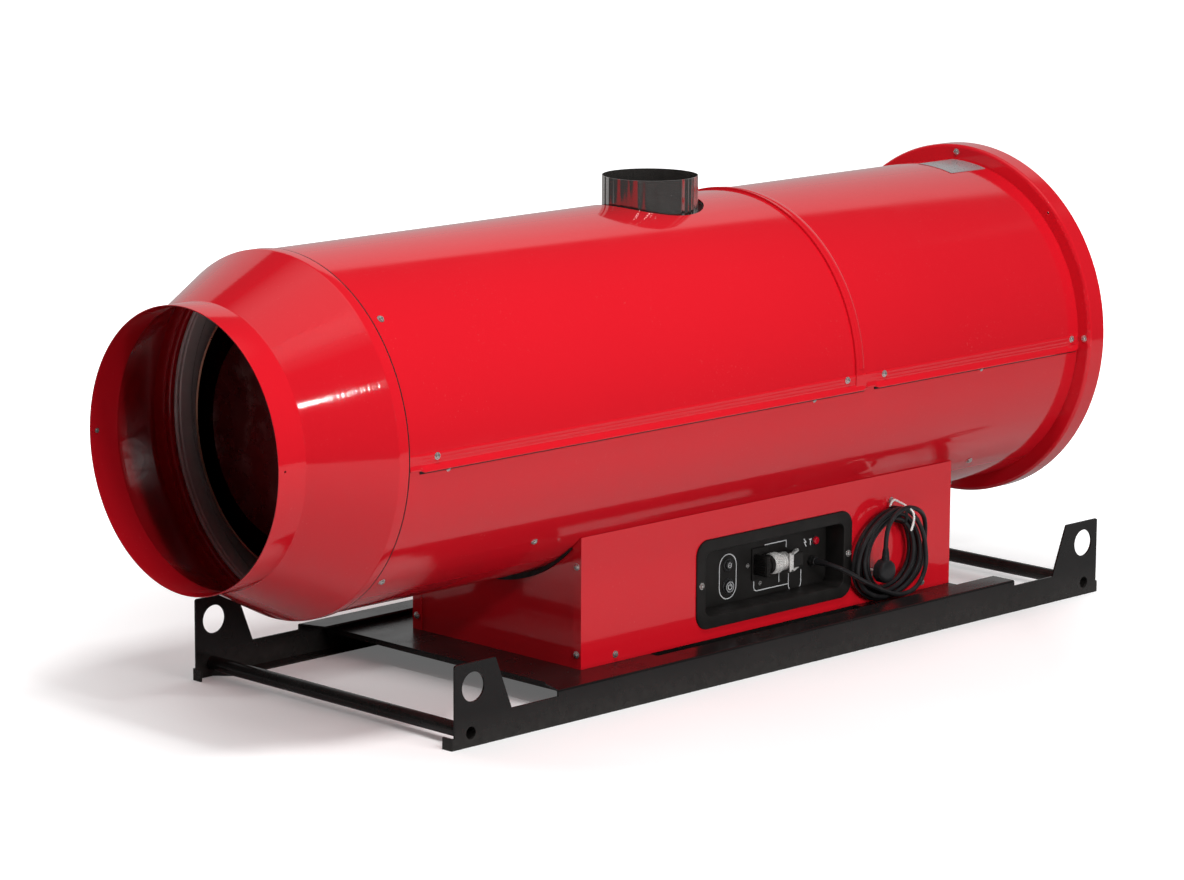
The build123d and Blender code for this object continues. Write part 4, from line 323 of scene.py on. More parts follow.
materials = {
    "red_paint": make_red_paint(),
    "black_paint": make_black_paint(),
    "label_foil": make_metal("label_foil", (0.46, 0.46, 0.47), 0.34, metallic=0.5),
    "liner_steel": make_liner_steel(),
    "drum_steel": make_drum_steel(),
    "chamber_steel": make_sheet_steel("chamber_steel", (0.13, 0.12, 0.11), (0.05, 0.045, 0.04), 0.5),
    "chamber_face": make_chamber_face(),
    "polished_stainless": make_polished_stainless(),
    "machined_steel": make_metal("machined_steel", (0.46, 0.46, 0.46), 0.26),
    "cast_aluminium": make_metal("cast_aluminium", (0.48, 0.48, 0.48), 0.44, 160.0, 0.25),
    "fan_aluminium": make_metal("fan_aluminium", (0.56, 0.56, 0.57), 0.30),
    "motor_enamel": make_coating("motor_enamel", (0.022, 0.023, 0.026), 0.36),
    "copper_pipe": make_metal("copper_pipe", (0.62, 0.29, 0.17), 0.26),
    "ceramic": make_coating("ceramic", (0.78, 0.76, 0.71), 0.18),
    "potting": make_coating("potting", (0.024, 0.024, 0.027), 0.42),
    "tray_plastic": make_tray_plastic(),
    "button_plastic": make_button_plastic(),
    "bright_nickel": make_metal("bright_nickel", (0.84, 0.83, 0.81), 0.32, metallic=0.5),
    "red_lens": make_red_lens(),
    "gland_nylon": make_coating("gland_nylon", (0.016, 0.016, 0.016), 0.40),
    "seal_rubber": make_coating("seal_rubber", (0.010, 0.010, 0.010), 0.75),
    "zinc_screw": make_metal("zinc_screw", (0.74, 0.73, 0.71), 0.26, metallic=0.85),
    "cord_rubber": make_cord_rubber(),
    "tie_white": make_coating("tie_white", (0.80, 0.79, 0.76), 0.35, 0.1),
}
spun_red = make_red_paint("spun_red", spun=True)
heated_rim = make_heated_rim()
print_grey = make_coating("print_grey", (0.55, 0.56, 0.57), 0.4, 0.15)
slot_of = {row["node"]: row["material_slot"] for row in frame["record"]["subparts"]}


# CAD nodes that stay: material, smooth shading and a small bevel

SMOOTH_ANGLE = 32
FLAT_ANGLE = 0.2
BEVEL_ANGLE = 40
JOIN_DISTANCE = 0.002 * MM


def smoothing_group():
    """Node group that shades smooth across edges flatter than the smooth angle."""
    group = bpy.data.node_groups.new("smooth_by_angle", "GeometryNodeTree")
    for way in ("INPUT", "OUTPUT"):
        group.interface.new_socket("Geometry", in_out=way, socket_type="NodeSocketGeometry")
    nodes = group.nodes
    start = nodes.new("NodeGroupInput")
    end = nodes.new("NodeGroupOutput")
    faces = nodes.new("GeometryNodeSetShadeSmooth")
    edges = nodes.new("GeometryNodeSetShadeSmooth")
    edges.domain = "EDGE"
    angle = nodes.new("GeometryNodeInputMeshEdgeAngle")
    below = nodes.new("FunctionNodeCompare")
    below.operation = "LESS_THAN"
    below.inputs["B"].default_value = radians(SMOOTH_ANGLE)
    for source, target in (
        (start.outputs[0], faces.inputs["Geometry"]),
        (faces.outputs["Geometry"], edges.inputs["Geometry"]),
        (angle.outputs["Unsigned Angle"], below.inputs["A"]),
        (below.outputs["Result"], edges.inputs["Shade Smooth"]),
        (edges.outputs["Geometry"], end.inputs[0]),
    ):
        group.links.new(source, target)
    return group


smooth_group = smoothing_group()


def repaint(piece, material):
    piece.data.materials.clear()
    piece.data.materials.append(material)


def modify(piece, name, kind, **settings):
    """Add a modifier with its settings."""
    modifier = piece.modifiers.new(name, kind)
    for setting, value in settings.items():
        setattr(modifier, setting, value)


def smooth(piece):
    modify(piece, "smooth", "NODES", node_group=smooth_group)


def dress_node(name, bevel):
    """Give a CAD node its slot's material, joined points, a small bevel and smooth shading."""
    piece = frame["nodes"][name]
    repaint(piece, materials[slot_of[name]])
    if "custom_normal" in piece.data.attributes:
        piece.data.attributes.remove(piece.data.attributes["custom_normal"])
    modify(piece, "weld", "WELD", merge_threshold=JOIN_DISTANCE)
    if bevel:
        modify(piece, "plain", "DECIMATE", decimate_type="DISSOLVE", angle_limit=radians(FLAT_ANGLE))
        modify(
            piece, "bevel", "BEVEL", width=bevel, segments=2, limit_method="ANGLE",
            angle_limit=radians(BEVEL_ANGLE), use_clamp_overlap=True,
        )
    smooth(piece)
    if bevel:
        # Keeps large flat faces flat beside their rounded edges
        modify(piece, "steady", "WEIGHTED_NORMAL", mode="FACE_AREA", keep_sharp=True)


replaced = {
    "casing_screws", "box_screws", "cord_lead", "cord_coil", "cord_tail", "cord_plug", "cord_tie",
    "outlet_cone", "inner_duct", "plug_shell", "plug_latch", "thermostat_socket",
}
bevel_widths = {
    0.6: ("near_rail", "far_rail", "fuel_pump"),
    0.5: ("outlet_shelf", "fan_shelf", "thermostat_plug"),
    0.4: (
        "box_front_panel", "box_back_panel", "frame_bolts", "flange_bolts", "cable_gland", "fan_blades",
        "motor_bracket",
    ),
    0.3: ("rear_ring",),
    0.25: ("front_cover", "rear_cover"),
    0.2: ("lower_shell",),
}
bevels = {node: width * MM for width, nodes in bevel_widths.items() for node in nodes}
for node in frame["nodes"]:
    if node not in replaced:
        dress_node(node, bevels.get(node, 0))


# Piece helpers


def in_mm(*pairs):
    return [(a * MM, b * MM) for a, b in pairs]


def around(steps):
    """Even angles of a full turn."""
    return [2 * pi * i / steps for i in range(steps)]


def arc(x, z, radius, start, end, count=12):
    """Flat points of an arc round (x, z), angles in degrees from +x towards +z."""
    turns = [radians(start + (end - start) * k / count) for k in range(count + 1)]
    return [(x + radius * cos(t), z + radius * sin(t)) for t in turns]


def add_object(name, data):
    made = bpy.data.objects.new(name, data)
    bpy.context.scene.collection.objects.link(made)
    return made


def mesh_from(bm, name):
    mesh = bpy.data.meshes.new(name)
    bm.to_mesh(mesh)
    bm.free()
    return mesh


def shown_mesh(piece):
    """New mesh of an object as its modifiers or its curve show it."""
    bpy.context.view_layer.update()
    graph = bpy.context.evaluated_depsgraph_get()
    return bpy.data.meshes.new_from_object(piece.evaluated_get(graph))


def cut_mesh(body, cutter, own_overlaps=False):
    """The body's mesh without the cutter's volume. The cutter is deleted."""
    settings = {"object": cutter, "operation": "DIFFERENCE", "solver": "EXACT", "use_self": own_overlaps}
    modify(body, "cut", "BOOLEAN", **settings)
    result = shown_mesh(body)
    bpy.data.objects.remove(cutter)
    return result


def piece_from(bm, name, slot, body="heater", merge=False):
    """Turn a bmesh into a piece with its slot's material, riding on a body."""
    if merge:
        bmesh.ops.remove_doubles(bm, verts=bm.verts, dist=0.001 * MM)
    bmesh.ops.recalc_face_normals(bm, faces=bm.faces)
    piece = add_object(name, mesh_from(bm, name))
    piece.data.materials.append(materials[slot])
    smooth(piece)
    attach(piece, body)
    return piece


def join_rows(bm, rows, closed=False):
    """Faces between neighbouring rings of vertices, and from the last to the first if closed."""
    pairs = list(zip(rows, rows[1:]))
    if closed:
        pairs.append((rows[-1], rows[0]))
    faces = []
    for low, high in pairs:
        for k in range(len(low)):
            j = (k + 1) % len(low)
            faces.append(bm.faces.new((low[k], low[j], high[j], high[k])))
    return faces


def loft(bm, rows):
    """Solid through rings of vertices, with a face at either end."""
    join_rows(bm, rows)
    bm.faces.new(rows[0])
    bm.faces.new(rows[-1])


def slab(bm, low, high, edge, segments=2):
    """Bevelled block between two corners."""
    made = bmesh.ops.create_cube(bm, size=1)["verts"]
    for v in made:
        v.co = Vector([low[k] if v.co[k] < 0 else high[k] for k in range(3)])
    edges = list({e for v in made for e in v.link_edges})
    bmesh.ops.bevel(bm, geom=edges, offset=edge, segments=segments, profile=0.5, affect="EDGES")


def turned(bm, profile, place, steps):
    """Revolve (radius, height) points about the place's z axis. The profile starts and ends on the axis."""
    rings = []
    for radius, height in profile:
        turns = around(steps) if radius > 0 else [0]
        ring = [place @ Vector((radius * cos(t), radius * sin(t), height)) for t in turns]
        rings.append([bm.verts.new(point) for point in ring])
    for low, high in zip(rings, rings[1:]):
        for i in range(steps):
            j = (i + 1) % steps
            loop = [low[i % len(low)], low[j % len(low)], high[j % len(high)], high[i % len(high)]]
            unique = list(dict.fromkeys(loop))
            if len(unique) > 2:
                bm.faces.new(unique)


def frame_at(place, direction):
    """Matrix with its z axis along direction and its origin at place."""
    z = Vector(direction).normalized()
    x = Vector((1, 0, 0)) if abs(z.x) < 0.9 else Vector((0, 1, 0))
    x = (x - z * x.dot(z)).normalized()
    y = z.cross(x)
    return Matrix.Translation(place) @ Matrix((x, y, z)).transposed().to_4x4()


def across(points):
    """Each point of a fine line with two directions across it, carried without twist."""
    side = None
    for i, point in enumerate(points):
        ahead = points[min(i + 1, len(points) - 1)] - points[max(i - 1, 0)]
        axis = ahead.normalized()
        if side is None:
            side = axis.orthogonal()
        side = (side - axis * side.dot(axis)).normalized()
        yield point, side, axis.cross(side)


def distances(points):
    """How far along a line each of its points lies."""
    walked = [0.0]
    for a, b in zip(points, points[1:]):
        walked.append(walked[-1] + (b - a).length)
    return walked


def tube_along(bm, points, radius, steps):
    """Round tube along a fine list of points. The radius may be a function of the share of its length."""
    rings = []
    for i, (point, side, other) in enumerate(across(points)):
        width = radius(i / (len(points) - 1)) if callable(radius) else radius
        rings.append([bm.verts.new(point + (side * cos(t) + other * sin(t)) * width) for t in around(steps)])
    loft(bm, rings)


# Sheet metal of revolution about the casing's axis

SHEET = 1.5 * MM
SHEET_STEPS = 240
SPIGOT_RADIUS = 209 * MM
BAND_RADIUS = 271 * MM
SLEEVE_RADIUS = 266.6 * MM
SLEEVE_LENGTH = 30 * MM
SPIGOT_LENGTH = 50 * MM
CONE_LENGTH = 120 * MM
BAND_LENGTH = 20 * MM
LIP_BEAD = 3.6 * MM
SEAM_GAP = 1.8 * MM
HOLE_INSET = 12 * MM
HOLE_RADIUS = 1.9 * MM
HOLE_DEPTH = 4 * MM
HOLE_STEPS = 20
LIP_START = 3 * MM
LIP_END = 12 * MM
LINER_SHEET = 1 * MM
LINER_EDGE = 4.4 * MM
LINER_GROOVE = 1.6 * MM
FLUE_HOLE_RADIUS = 84 * MM
FLUE_HOLE_DEPTH = 40 * MM
# Dark strip in the seam gap between cone and casing, standing in for the gap's shade
SHADE_STRIP_INTO_SLEEVE = 0.2 * MM
SHADE_STRIP_BELOW_BAND = 0.3 * MM
SHADE_STRIP_END_GAP = 0.1 * MM
x_rim = cone_low.x
x_spigot = x_rim + SPIGOT_LENGTH
x_cone = x_spigot + CONE_LENGTH
x_seam = x_cone + BAND_LENGTH


def rounded(points, bends, steps=6):
    """A loop of (x, radius) points with an arc at each corner that bends names with its radius in mm."""
    loop = []
    for i, point in enumerate(points):
        if i not in bends:
            loop.append(point)
            continue
        here = Vector(point)
        bend = bends[i] * MM
        before = (Vector(points[i - 1]) - here).normalized()
        after = (Vector(points[(i + 1) % len(points)]) - here).normalized()
        half = before.angle(after) / 2
        centre = here + (before + after).normalized() * bend / sin(half)
        first = here + before * bend / tan(half) - centre
        last = here + after * bend / tan(half) - centre
        total = first.angle(last)
        for k in range(steps + 1):
            part = k / steps
            spread = (first * sin((1 - part) * total) + last * sin(part * total)) / sin(total)
            loop.append(tuple(centre + spread))
    return loop


def sheet_round(loop):
    """Revolve a closed loop of (x, radius) points about the casing's axis."""
    bm = bmesh.new()
    turns = around(SHEET_STEPS)
    rows = [[bm.verts.new((x, r * cos(t), axis_z + r * sin(t))) for t in turns] for x, r in loop]
    join_rows(bm, rows, closed=True)
    return bm


def cut_holes(piece, places, radius, depth):
    """Drill round holes through a piece at matrices whose z axis runs along the hole."""
    bm = bmesh.new()
    for place in places:
        turned(bm, [(0, -depth), (radius, -depth), (radius, depth), (0, depth)], place, HOLE_STEPS)
    bmesh.ops.recalc_face_normals(bm, faces=bm.faces)
    result = cut_mesh(piece, add_object("holes", mesh_from(bm, "holes")))
    piece.modifiers.clear()
    piece.data = result
    smooth(piece)


def make_outlet_cone():
    """Duct spigot, spun cone, band and sleeve, with rolled creases and a lip inside the seam."""
    inner_sleeve = SLEEVE_RADIUS - SHEET
    lip = inner_sleeve - LIP_BEAD
    loop = rounded([
        (x_rim, SPIGOT_RADIUS),
        (x_spigot, SPIGOT_RADIUS),
        (x_cone, BAND_RADIUS),
        (x_seam - SEAM_GAP, BAND_RADIUS),
        (x_seam - SEAM_GAP, SLEEVE_RADIUS),
        (x_seam + SLEEVE_LENGTH, SLEEVE_RADIUS),
        (x_seam + SLEEVE_LENGTH, inner_sleeve),
        (x_seam + LIP_END, inner_sleeve),
        (x_seam + LIP_END, lip),
        (x_seam + LIP_START, lip),
        (x_seam + LIP_START, inner_sleeve),
        (x_seam - SEAM_GAP - SHEET, inner_sleeve),
        (x_seam - SEAM_GAP - SHEET, BAND_RADIUS - SHEET),
        (x_cone, BAND_RADIUS - SHEET),
        (x_spigot, SPIGOT_RADIUS - SHEET),
        (x_rim, SPIGOT_RADIUS - SHEET),
    ], {0: 0.5, 1: 5, 2: 9, 3: 1.4, 8: 3, 9: 3, 13: 7.5, 14: 6.5, 15: 0.5})
    piece = piece_from(sheet_round(loop), "outlet_cone_spun", "red_paint", merge=True)
    hole_x = x_rim + HOLE_INSET
    cut_holes(piece, [
        frame_at((hole_x, side * SPIGOT_RADIUS, axis_z), (0, 1, 0)) for side in (-1, 1)
    ], HOLE_RADIUS, HOLE_DEPTH)
    repaint(piece, spun_red)
    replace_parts(piece, "outlet_cone")


def make_liner():
    """Inner duct with a rolled front edge, a swaged groove and the flue's hole."""
    low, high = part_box("inner_duct")
    outer = high.y
    inner = outer - LINER_SHEET
    edge = outer - LINER_EDGE
    groove = inner - LINER_GROOVE
    x = low.x
    loop = rounded([
        (x, outer),
        (x, edge),
        (x + 5 * MM, edge),
        (x + 7 * MM, inner),
        (x + 9 * MM, inner),
        (x + 11 * MM, groove),
        (x + 31 * MM, groove),
        (x + 34 * MM, inner),
        (high.x, inner),
        (high.x, outer),
    ], {1: 2, 2: 2, 3: 0.6, 4: 0.6, 5: 1, 6: 1.4, 7: 1.4}, 4)
    piece = piece_from(sheet_round(loop), "inner_duct_rolled", "liner_steel", merge=True)
    flue = frame_at((middle("flue_collar").x, 0, axis_z + outer), (0, 0, 1))
    cut_holes(piece, [flue], FLUE_HOLE_RADIUS, FLUE_HOLE_DEPTH)
    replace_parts(piece, "inner_duct")


def make_drum_rim():
    """Flared rim round the exchanger's front end, coloured by heat."""
    low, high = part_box("exchanger_drum")
    outline = in_mm((4, 0.1), (0, 0.3), (-2, 2.2), (-1.2, 3.6), (1.4, 1.9), (4, 1.4))
    loop = rounded([(low.x + x, high.y + r) for x, r in outline], {1: 0.8, 2: 0.5, 3: 0.5, 4: 0.8}, 4)
    repaint(piece_from(sheet_round(loop), "drum_rim", "drum_steel", merge=True), heated_rim)


def make_seam_shade_strip():
    """Thin dark strip filling the gap between the outlet cone's band and the casing: a painted shade line in
    the seam.
    """
    low = SLEEVE_RADIUS - SHADE_STRIP_INTO_SLEEVE
    high = BAND_RADIUS - SHADE_STRIP_BELOW_BAND
    start = x_seam - SEAM_GAP - SHADE_STRIP_END_GAP
    end = x_seam - SHADE_STRIP_END_GAP
    loop = rounded([(start, low), (start, high), (end, high), (end, low)], {1: 0.4, 2: 0.4}, 3)
    piece_from(sheet_round(loop), "seam_shade_strip", "seal_rubber", merge=True)


make_outlet_cone()
make_seam_shade_strip()
make_liner()
make_drum_rim()


# Screws: each island of the CAD node gives a place and direction for a detailed screw

SCREW_FLANGE_RADIUS = 5.6 * MM
SCREW_HEAD_RADIUS = 4 * MM
SCREW_HEIGHT = 4 * MM
RECESS_WIDTH = 1.1 * MM
RECESS_REACH = 2.3 * MM
RECESS_DEPTH = 1.5 * MM
RECESS_TAPER = 0.55


def islands(node):
    """Point and face index lists of each loose part of a node's mesh."""
    bm = bmesh.new()
    bm.from_mesh(frame["nodes"][node].data)
    bmesh.ops.remove_doubles(bm, verts=bm.verts, dist=JOIN_DISTANCE)
    seen = set()
    groups = []
    for start in bm.verts:
        if start in seen:
            continue
        stack, part = [start], []
        seen.add(start)
        while stack:
            v = stack.pop()
            part.append(v)
            for e in v.link_edges:
                other = e.other_vert(v)
                if other not in seen:
                    seen.add(other)
                    stack.append(other)
        faces = {f for v in part for f in v.link_faces}
        groups.append(([v.co.copy() for v in part], [(f.normal.copy(), f.calc_area()) for f in faces]))
    bm.free()
    return groups


def screw_places(node):
    """(matrix at the seat, scale) of each screw, its z axis out of the head."""
    places = []
    for points, faces in islands(node):
        spread = np.zeros((3, 3))
        for normal, area in faces:
            spread += area * np.outer(normal, normal)
        values, vectors = np.linalg.eigh(spread)
        odd = 0 if values[1] - values[0] > values[2] - values[1] else 2
        axis = Vector(vectors[:, odd]).normalized()
        centre = sum(points, Vector()) / len(points)
        heights = [(p - centre).dot(axis) for p in points]
        reaches = [((p - centre) - axis * h).length for p, h in zip(points, heights)]
        widest = max(reaches)
        rims = [h for h, r in zip(heights, reaches) if r > 0.98 * widest]
        middle_height = (max(heights) + min(heights)) / 2
        if sum(rims) / len(rims) < middle_height:
            axis = -axis
            rims = [-h for h in rims]
        places.append((frame_at(centre + axis * min(rims), axis), widest / SCREW_FLANGE_RADIUS))
    return places


def make_screw_mesh():
    """Pan head on a thin flange, with a cross recess, in a mesh of its own."""
    bm = bmesh.new()
    dome_start, dome_rise = 2.2 * MM, 1.8 * MM
    head = in_mm((0, -1.2), (2, -1.2), (2, 0))
    head += [
        (SCREW_FLANGE_RADIUS, 0),
        (SCREW_FLANGE_RADIUS, 0.7 * MM),
        (SCREW_FLANGE_RADIUS - 0.3 * MM, 1.0 * MM),
        (SCREW_HEAD_RADIUS + 0.3 * MM, 1.0 * MM),
        (SCREW_HEAD_RADIUS, 1.15 * MM),
        (SCREW_HEAD_RADIUS, dome_start),
    ]
    for turn in (radians(15 * i) for i in range(1, 6)):
        head.append((SCREW_HEAD_RADIUS * cos(turn), dome_start + dome_rise * sin(turn)))
    head.append((0, SCREW_HEIGHT))
    turned(bm, head, Matrix.Identity(4), 36)
    bmesh.ops.recalc_face_normals(bm, faces=bm.faces)
    recess = bmesh.new()
    for turn in (0, pi / 2):
        for v in bmesh.ops.create_cube(recess, size=1)["verts"]:
            taper = RECESS_TAPER if v.co.z < 0 else 1.0
            x = v.co.x * 2 * RECESS_REACH * taper
            v.co = Vector((x, v.co.y * RECESS_WIDTH * taper, v.co.z * 2 * RECESS_DEPTH))
            v.co.rotate(Matrix.Rotation(turn, 3, "Z"))
            v.co.z += SCREW_HEIGHT
    body = add_object("screw", mesh_from(bm, "screw"))
    result = cut_mesh(body, add_object("recess", mesh_from(recess, "recess")), own_overlaps=True)
    bpy.data.objects.remove(body)
    return result


screw_mesh = make_screw_mesh()


def make_screws(node, name):
    """All the screws of a node as one piece, each turned to a different angle."""
    bm = bmesh.new()
    for place, scale in screw_places(node):
        copy = screw_mesh.copy()
        turn = Matrix.Rotation(random.uniform(0, pi), 4, "Z")
        copy.transform(place @ turn @ Matrix.Scale(scale, 4))
        bm.from_mesh(copy)
        bpy.data.meshes.remove(copy)
    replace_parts(piece_from(bm, name, "zinc_screw"), node)


make_screws("casing_screws", "casing_screw_heads")
make_screws("box_screws", "box_screw_heads")


# Mains cord: one spline through the lead, the coil and the tail

CORD_DIAMETER = 7.5 * MM
COIL_BACK_GAP = 11 * MM
COIL_LAYER_STEP = 8.6 * MM
COIL_BOTTOM = 47 * MM
COIL_TOP = 199 * MM
COIL_PITCH = 4.4 * MM
COIL_HALF_WIDTH = 94 * MM
COIL_SIDE_PITCH = 8.5 * MM
COIL_WIDEST = 100 * MM
COIL_WIDEST_RISE = 4 * MM
COIL_LEAN = 10 * MM
COIL_HALF_TURNS = 10
COIL_ENTRY_SHIFT = 34 * MM
COIL_ENTRY_RISE = 5 * MM
COIL_ENTRY_DRAW = 12 * MM
COIL_FROM_BOX_END = 167.5 * MM
COIL_DRAW = 1.14

coil_x = front_high.x - COIL_FROM_BOX_END
coil_top_x = coil_x + COIL_LEAN
panel_y = front_low.y
y_back_layer = panel_y - COIL_BACK_GAP
y_front_layer = y_back_layer - COIL_LAYER_STEP
y_entry = y_front_layer - COIL_LAYER_STEP
reversal = COIL_HALF_TURNS // 2


def inward(i):
    """How many half turns in from the outermost one the crossing i lies."""
    return i if i <= reversal else COIL_HALF_TURNS + 1 - i


def crossing(i):
    """Point where the cord crosses the coil's bottom, for an even i, or its top, for an odd one."""
    if i == 0:
        return Vector((coil_x + COIL_ENTRY_SHIFT, y_entry, COIL_BOTTOM + COIL_ENTRY_RISE))
    y = y_entry if i == 1 else y_front_layer if i <= reversal else y_back_layer
    if i % 2 == 0:
        return Vector((coil_x - COIL_LEAN, y, COIL_BOTTOM + (inward(i) - 1) * COIL_PITCH))
    return Vector((coil_top_x, y, COIL_TOP - inward(i) * COIL_PITCH))


def widest(i):
    """Point at the coil's side halfway along the half turn i: on the right for an even i."""
    level = inward(i) / 2 + inward(i + 1) / 2
    draw = COIL_ENTRY_DRAW if i == 0 else 0
    reach = COIL_HALF_WIDTH - level * COIL_SIDE_PITCH - draw
    y = crossing(i).y if i == 0 else (crossing(i).y + crossing(i + 1).y) / 2
    y = y_front_layer if i == 1 else y
    return Vector((coil_x + (reach if i % 2 == 0 else -reach), y, COIL_WIDEST + level * COIL_WIDEST_RISE))


def quarter_turn(flat, upright):
    """Points of a quarter turn from a level crossing to an upright side point, drawn in near the top."""
    turns = [radians(22.5 * k) for k in range(5)]
    draw = COIL_DRAW if flat.z > upright.z else 1
    return [
        Vector((
            flat.x + (upright.x - flat.x) * sin(turn) ** draw,
            flat.y + (upright.y - flat.y) * k / 4,
            flat.z + (upright.z - flat.z) * (1 - cos(turn)),
        ))
        for k, turn in enumerate(turns)
    ]


coil_points = [crossing(0)]
for i in range(COIL_HALF_TURNS):
    coil_points += quarter_turn(crossing(i), widest(i))[1:]
    coil_points += quarter_turn(crossing(i + 1), widest(i))[::-1][1:]
coil_points += quarter_turn(crossing(COIL_HALF_TURNS), widest(COIL_HALF_TURNS))[1:]
coil_start = coil_points[0]
coil_end = coil_points[-1]

gland_mouth = Vector(((gland_low.x + gland_high.x) / 2, gland_low.y, (gland_low.z + gland_high.z) / 2))


def offsets(start, *steps):
    """Points at offsets in millimetres from a start."""
    return [start + Vector(step) * MM for step in steps]


lead_points = [gland_mouth] + offsets(
    gland_mouth,
    (0, -17, 0), (5.5, -33, -3), (16.5, -46, -9.5), (31.5, -53.5, -19.5),
    (51.5, -55.5, -31.5), (80.5, -53.5, -45), (110, -51, -58),
) + offsets(coil_start, (-25, 0, 0))

plug_low, plug_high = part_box("cord_plug")
PLUG_RADIUS = 19 * MM
PLUG_DEPTH = 21 * MM
PLUG_PIN_LENGTH = 17 * MM
PIN_RADIUS = 2.4 * MM
PIN_SPACING = 19 * MM
GRIP_LINES = 7
NECK_STEPS = 44
NECK_RIBS = 9
NECK_RIB_RISE = 0.35 * MM
NECK_WIDE = 7.4 * MM
NECK_TAPER = 3.2 * MM
GRIP_START = 4 * MM
GRIP_STEP = 1.7 * MM
GRIP_WIRE = 0.35 * MM
GRIP_HALF_TURN = 27
SLEEVE_REACH = 22 * MM
SLEEVE_WIDE = 6.2 * MM
SLEEVE_TAPER = 1.9 * MM
SLEEVE_WAVE = 0.25 * MM
SLEEVE_WAVES = 26
plug_x = (plug_low.x + plug_high.x) / 2
plug_z = plug_low.z + PLUG_RADIUS
plug_face_y = plug_low.y + PLUG_DEPTH
neck_y = plug_face_y - PLUG_DEPTH / 2
neck_top = Vector((plug_x, neck_y, plug_high.z))
tail_points = offsets(
    coil_end,
    (0, -1.5, 22), (-6, -8.5, 46), (-19, -17.5, 67), (-38, -25, 83),
    (-62, -27, 93), (-87, -27, 93), (-109, -26, 80.5),
) + offsets(neck_top, (0, 0, 23), (0, 0, 0))


def spline_curve(name, points, radius):
    """NURBS curve of order 3 through control points, with a round section."""
    data = bpy.data.curves.new(name, "CURVE")
    data.dimensions = "3D"
    spline = data.splines.new("NURBS")
    spline.points.add(len(points) - 1)
    for target, point in zip(spline.points, points):
        target.co = (*point, 1)
    spline.order_u = 3
    spline.use_endpoint_u = True
    spline.resolution_u = 8
    data.bevel_depth = radius
    data.bevel_resolution = 5
    data.use_fill_caps = True
    return add_object(name, data)


def points_on(points):
    """Points along the NURBS curve with these control points."""
    probe = spline_curve("probe", points, 0)
    mesh = shown_mesh(probe)
    line = [v.co.copy() for v in mesh.vertices]
    data = probe.data
    bpy.data.objects.remove(probe)
    bpy.data.curves.remove(data)
    bpy.data.meshes.remove(mesh)
    return line


cord_points = lead_points + coil_points + tail_points
cord_line = points_on(cord_points)
cord_length = distances(cord_line)[-1]
mains_cord = spline_curve("mains_cord", cord_points, CORD_DIAMETER / 2)
mains_cord.data.materials.append(materials["cord_rubber"])
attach(mains_cord, "heater")
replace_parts(mains_cord, "cord_lead", "cord_coil", "cord_tail")


def make_strain_relief():
    """Tapered rubber sleeve on the cord where it leaves the gland."""
    points = [cord_line[0] + Vector((0, 0.5 * MM, 0))]
    points += [p for p, walked in zip(cord_line, distances(cord_line)) if walked < SLEEVE_REACH]

    def width(share):
        """Radius at a share of the sleeve's length."""
        return SLEEVE_WIDE - SLEEVE_TAPER * share + SLEEVE_WAVE * sin(share * SLEEVE_WAVES)

    bm = bmesh.new()
    tube_along(bm, points, width, 24)
    return piece_from(bm, "strain_relief", "cord_rubber", merge=True)


def make_plug():
    """Round angled plug: rubber body with fine grip lines, ribbed neck, contact face and two pins."""
    bm = bmesh.new()
    body = in_mm((0, 0), (16.2, 0), (16.8, 0.4), (18.4, 0.4))
    body += [(PLUG_RADIUS, 1 * MM), (PLUG_RADIUS, 12 * MM)]
    body += in_mm((18.6, 14.6), (17.2, 17.2), (14.6, 19.2), (11, 20.4), (5, 20.95))
    body += [(0, PLUG_DEPTH)]
    turned(bm, body, frame_at((plug_x, plug_face_y, plug_z), (0, -1, 0)), 56)
    neck_start = Vector((plug_x, neck_y, plug_z + 12 * MM))
    neck_end = neck_top + Vector((0, 0, 0.3 * MM))
    line = [neck_start.lerp(neck_end, i / NECK_STEPS) for i in range(NECK_STEPS + 1)]

    def neck(share):
        """Radius at a share of the neck's length, its upper part ribbed."""
        ribbed = share > 0.3 and (share * NECK_RIBS) % 1 < 0.55
        return NECK_WIDE - NECK_TAPER * share + (NECK_RIB_RISE if ribbed else 0)

    tube_along(bm, line, neck, 28)
    for start in (180, 0):
        for i in range(GRIP_LINES):
            height = GRIP_START + i * GRIP_STEP
            turn = frame_at((plug_x, plug_face_y - height, plug_z), (0, -1, 0))
            grip = arc(0, 0, PLUG_RADIUS, start - GRIP_HALF_TURN, start + GRIP_HALF_TURN, 18)
            tube_along(bm, [turn @ Vector((*point, 0)) for point in grip], GRIP_WIRE, 6)
    plug = piece_from(bm, "plug_body", "cord_rubber")
    pins = bmesh.new()
    pin = [
        (0, -1 * MM),
        (PIN_RADIUS, -1 * MM),
        (PIN_RADIUS, PLUG_PIN_LENGTH - 1.6 * MM),
        (PIN_RADIUS - 0.7 * MM, PLUG_PIN_LENGTH - 0.4 * MM),
        (PIN_RADIUS - 1.5 * MM, PLUG_PIN_LENGTH),
        (0, PLUG_PIN_LENGTH),
    ]
    for side in (-1, 1):
        seat = frame_at((plug_x + side * PIN_SPACING / 2, plug_face_y, plug_z), (0, 1, 0))
        turned(pins, pin, seat, 24)
    contacts = piece_from(pins, "plug_pins", "bright_nickel")
    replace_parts(plug, "cord_plug")
    return [plug, contacts]


strain_relief = make_strain_relief()
plug_pieces = make_plug()


# Tie: a band round the coil's top, and two wires twisted together from the screw above it

tie_low, tie_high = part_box("cord_tie")
TIE_WIRE = 1.0 * MM
TIE_LOOP_SHARE = 0.76
HOOK_STAND = 5.4 * MM
BAND_STEP = 1.6 * MM
BAND_INSET = 1.6 * MM
BAND_WIRE = 1.1 * MM
TWIST_REACH = 1.05 * MM
TWIST_PITCH = 7 * MM


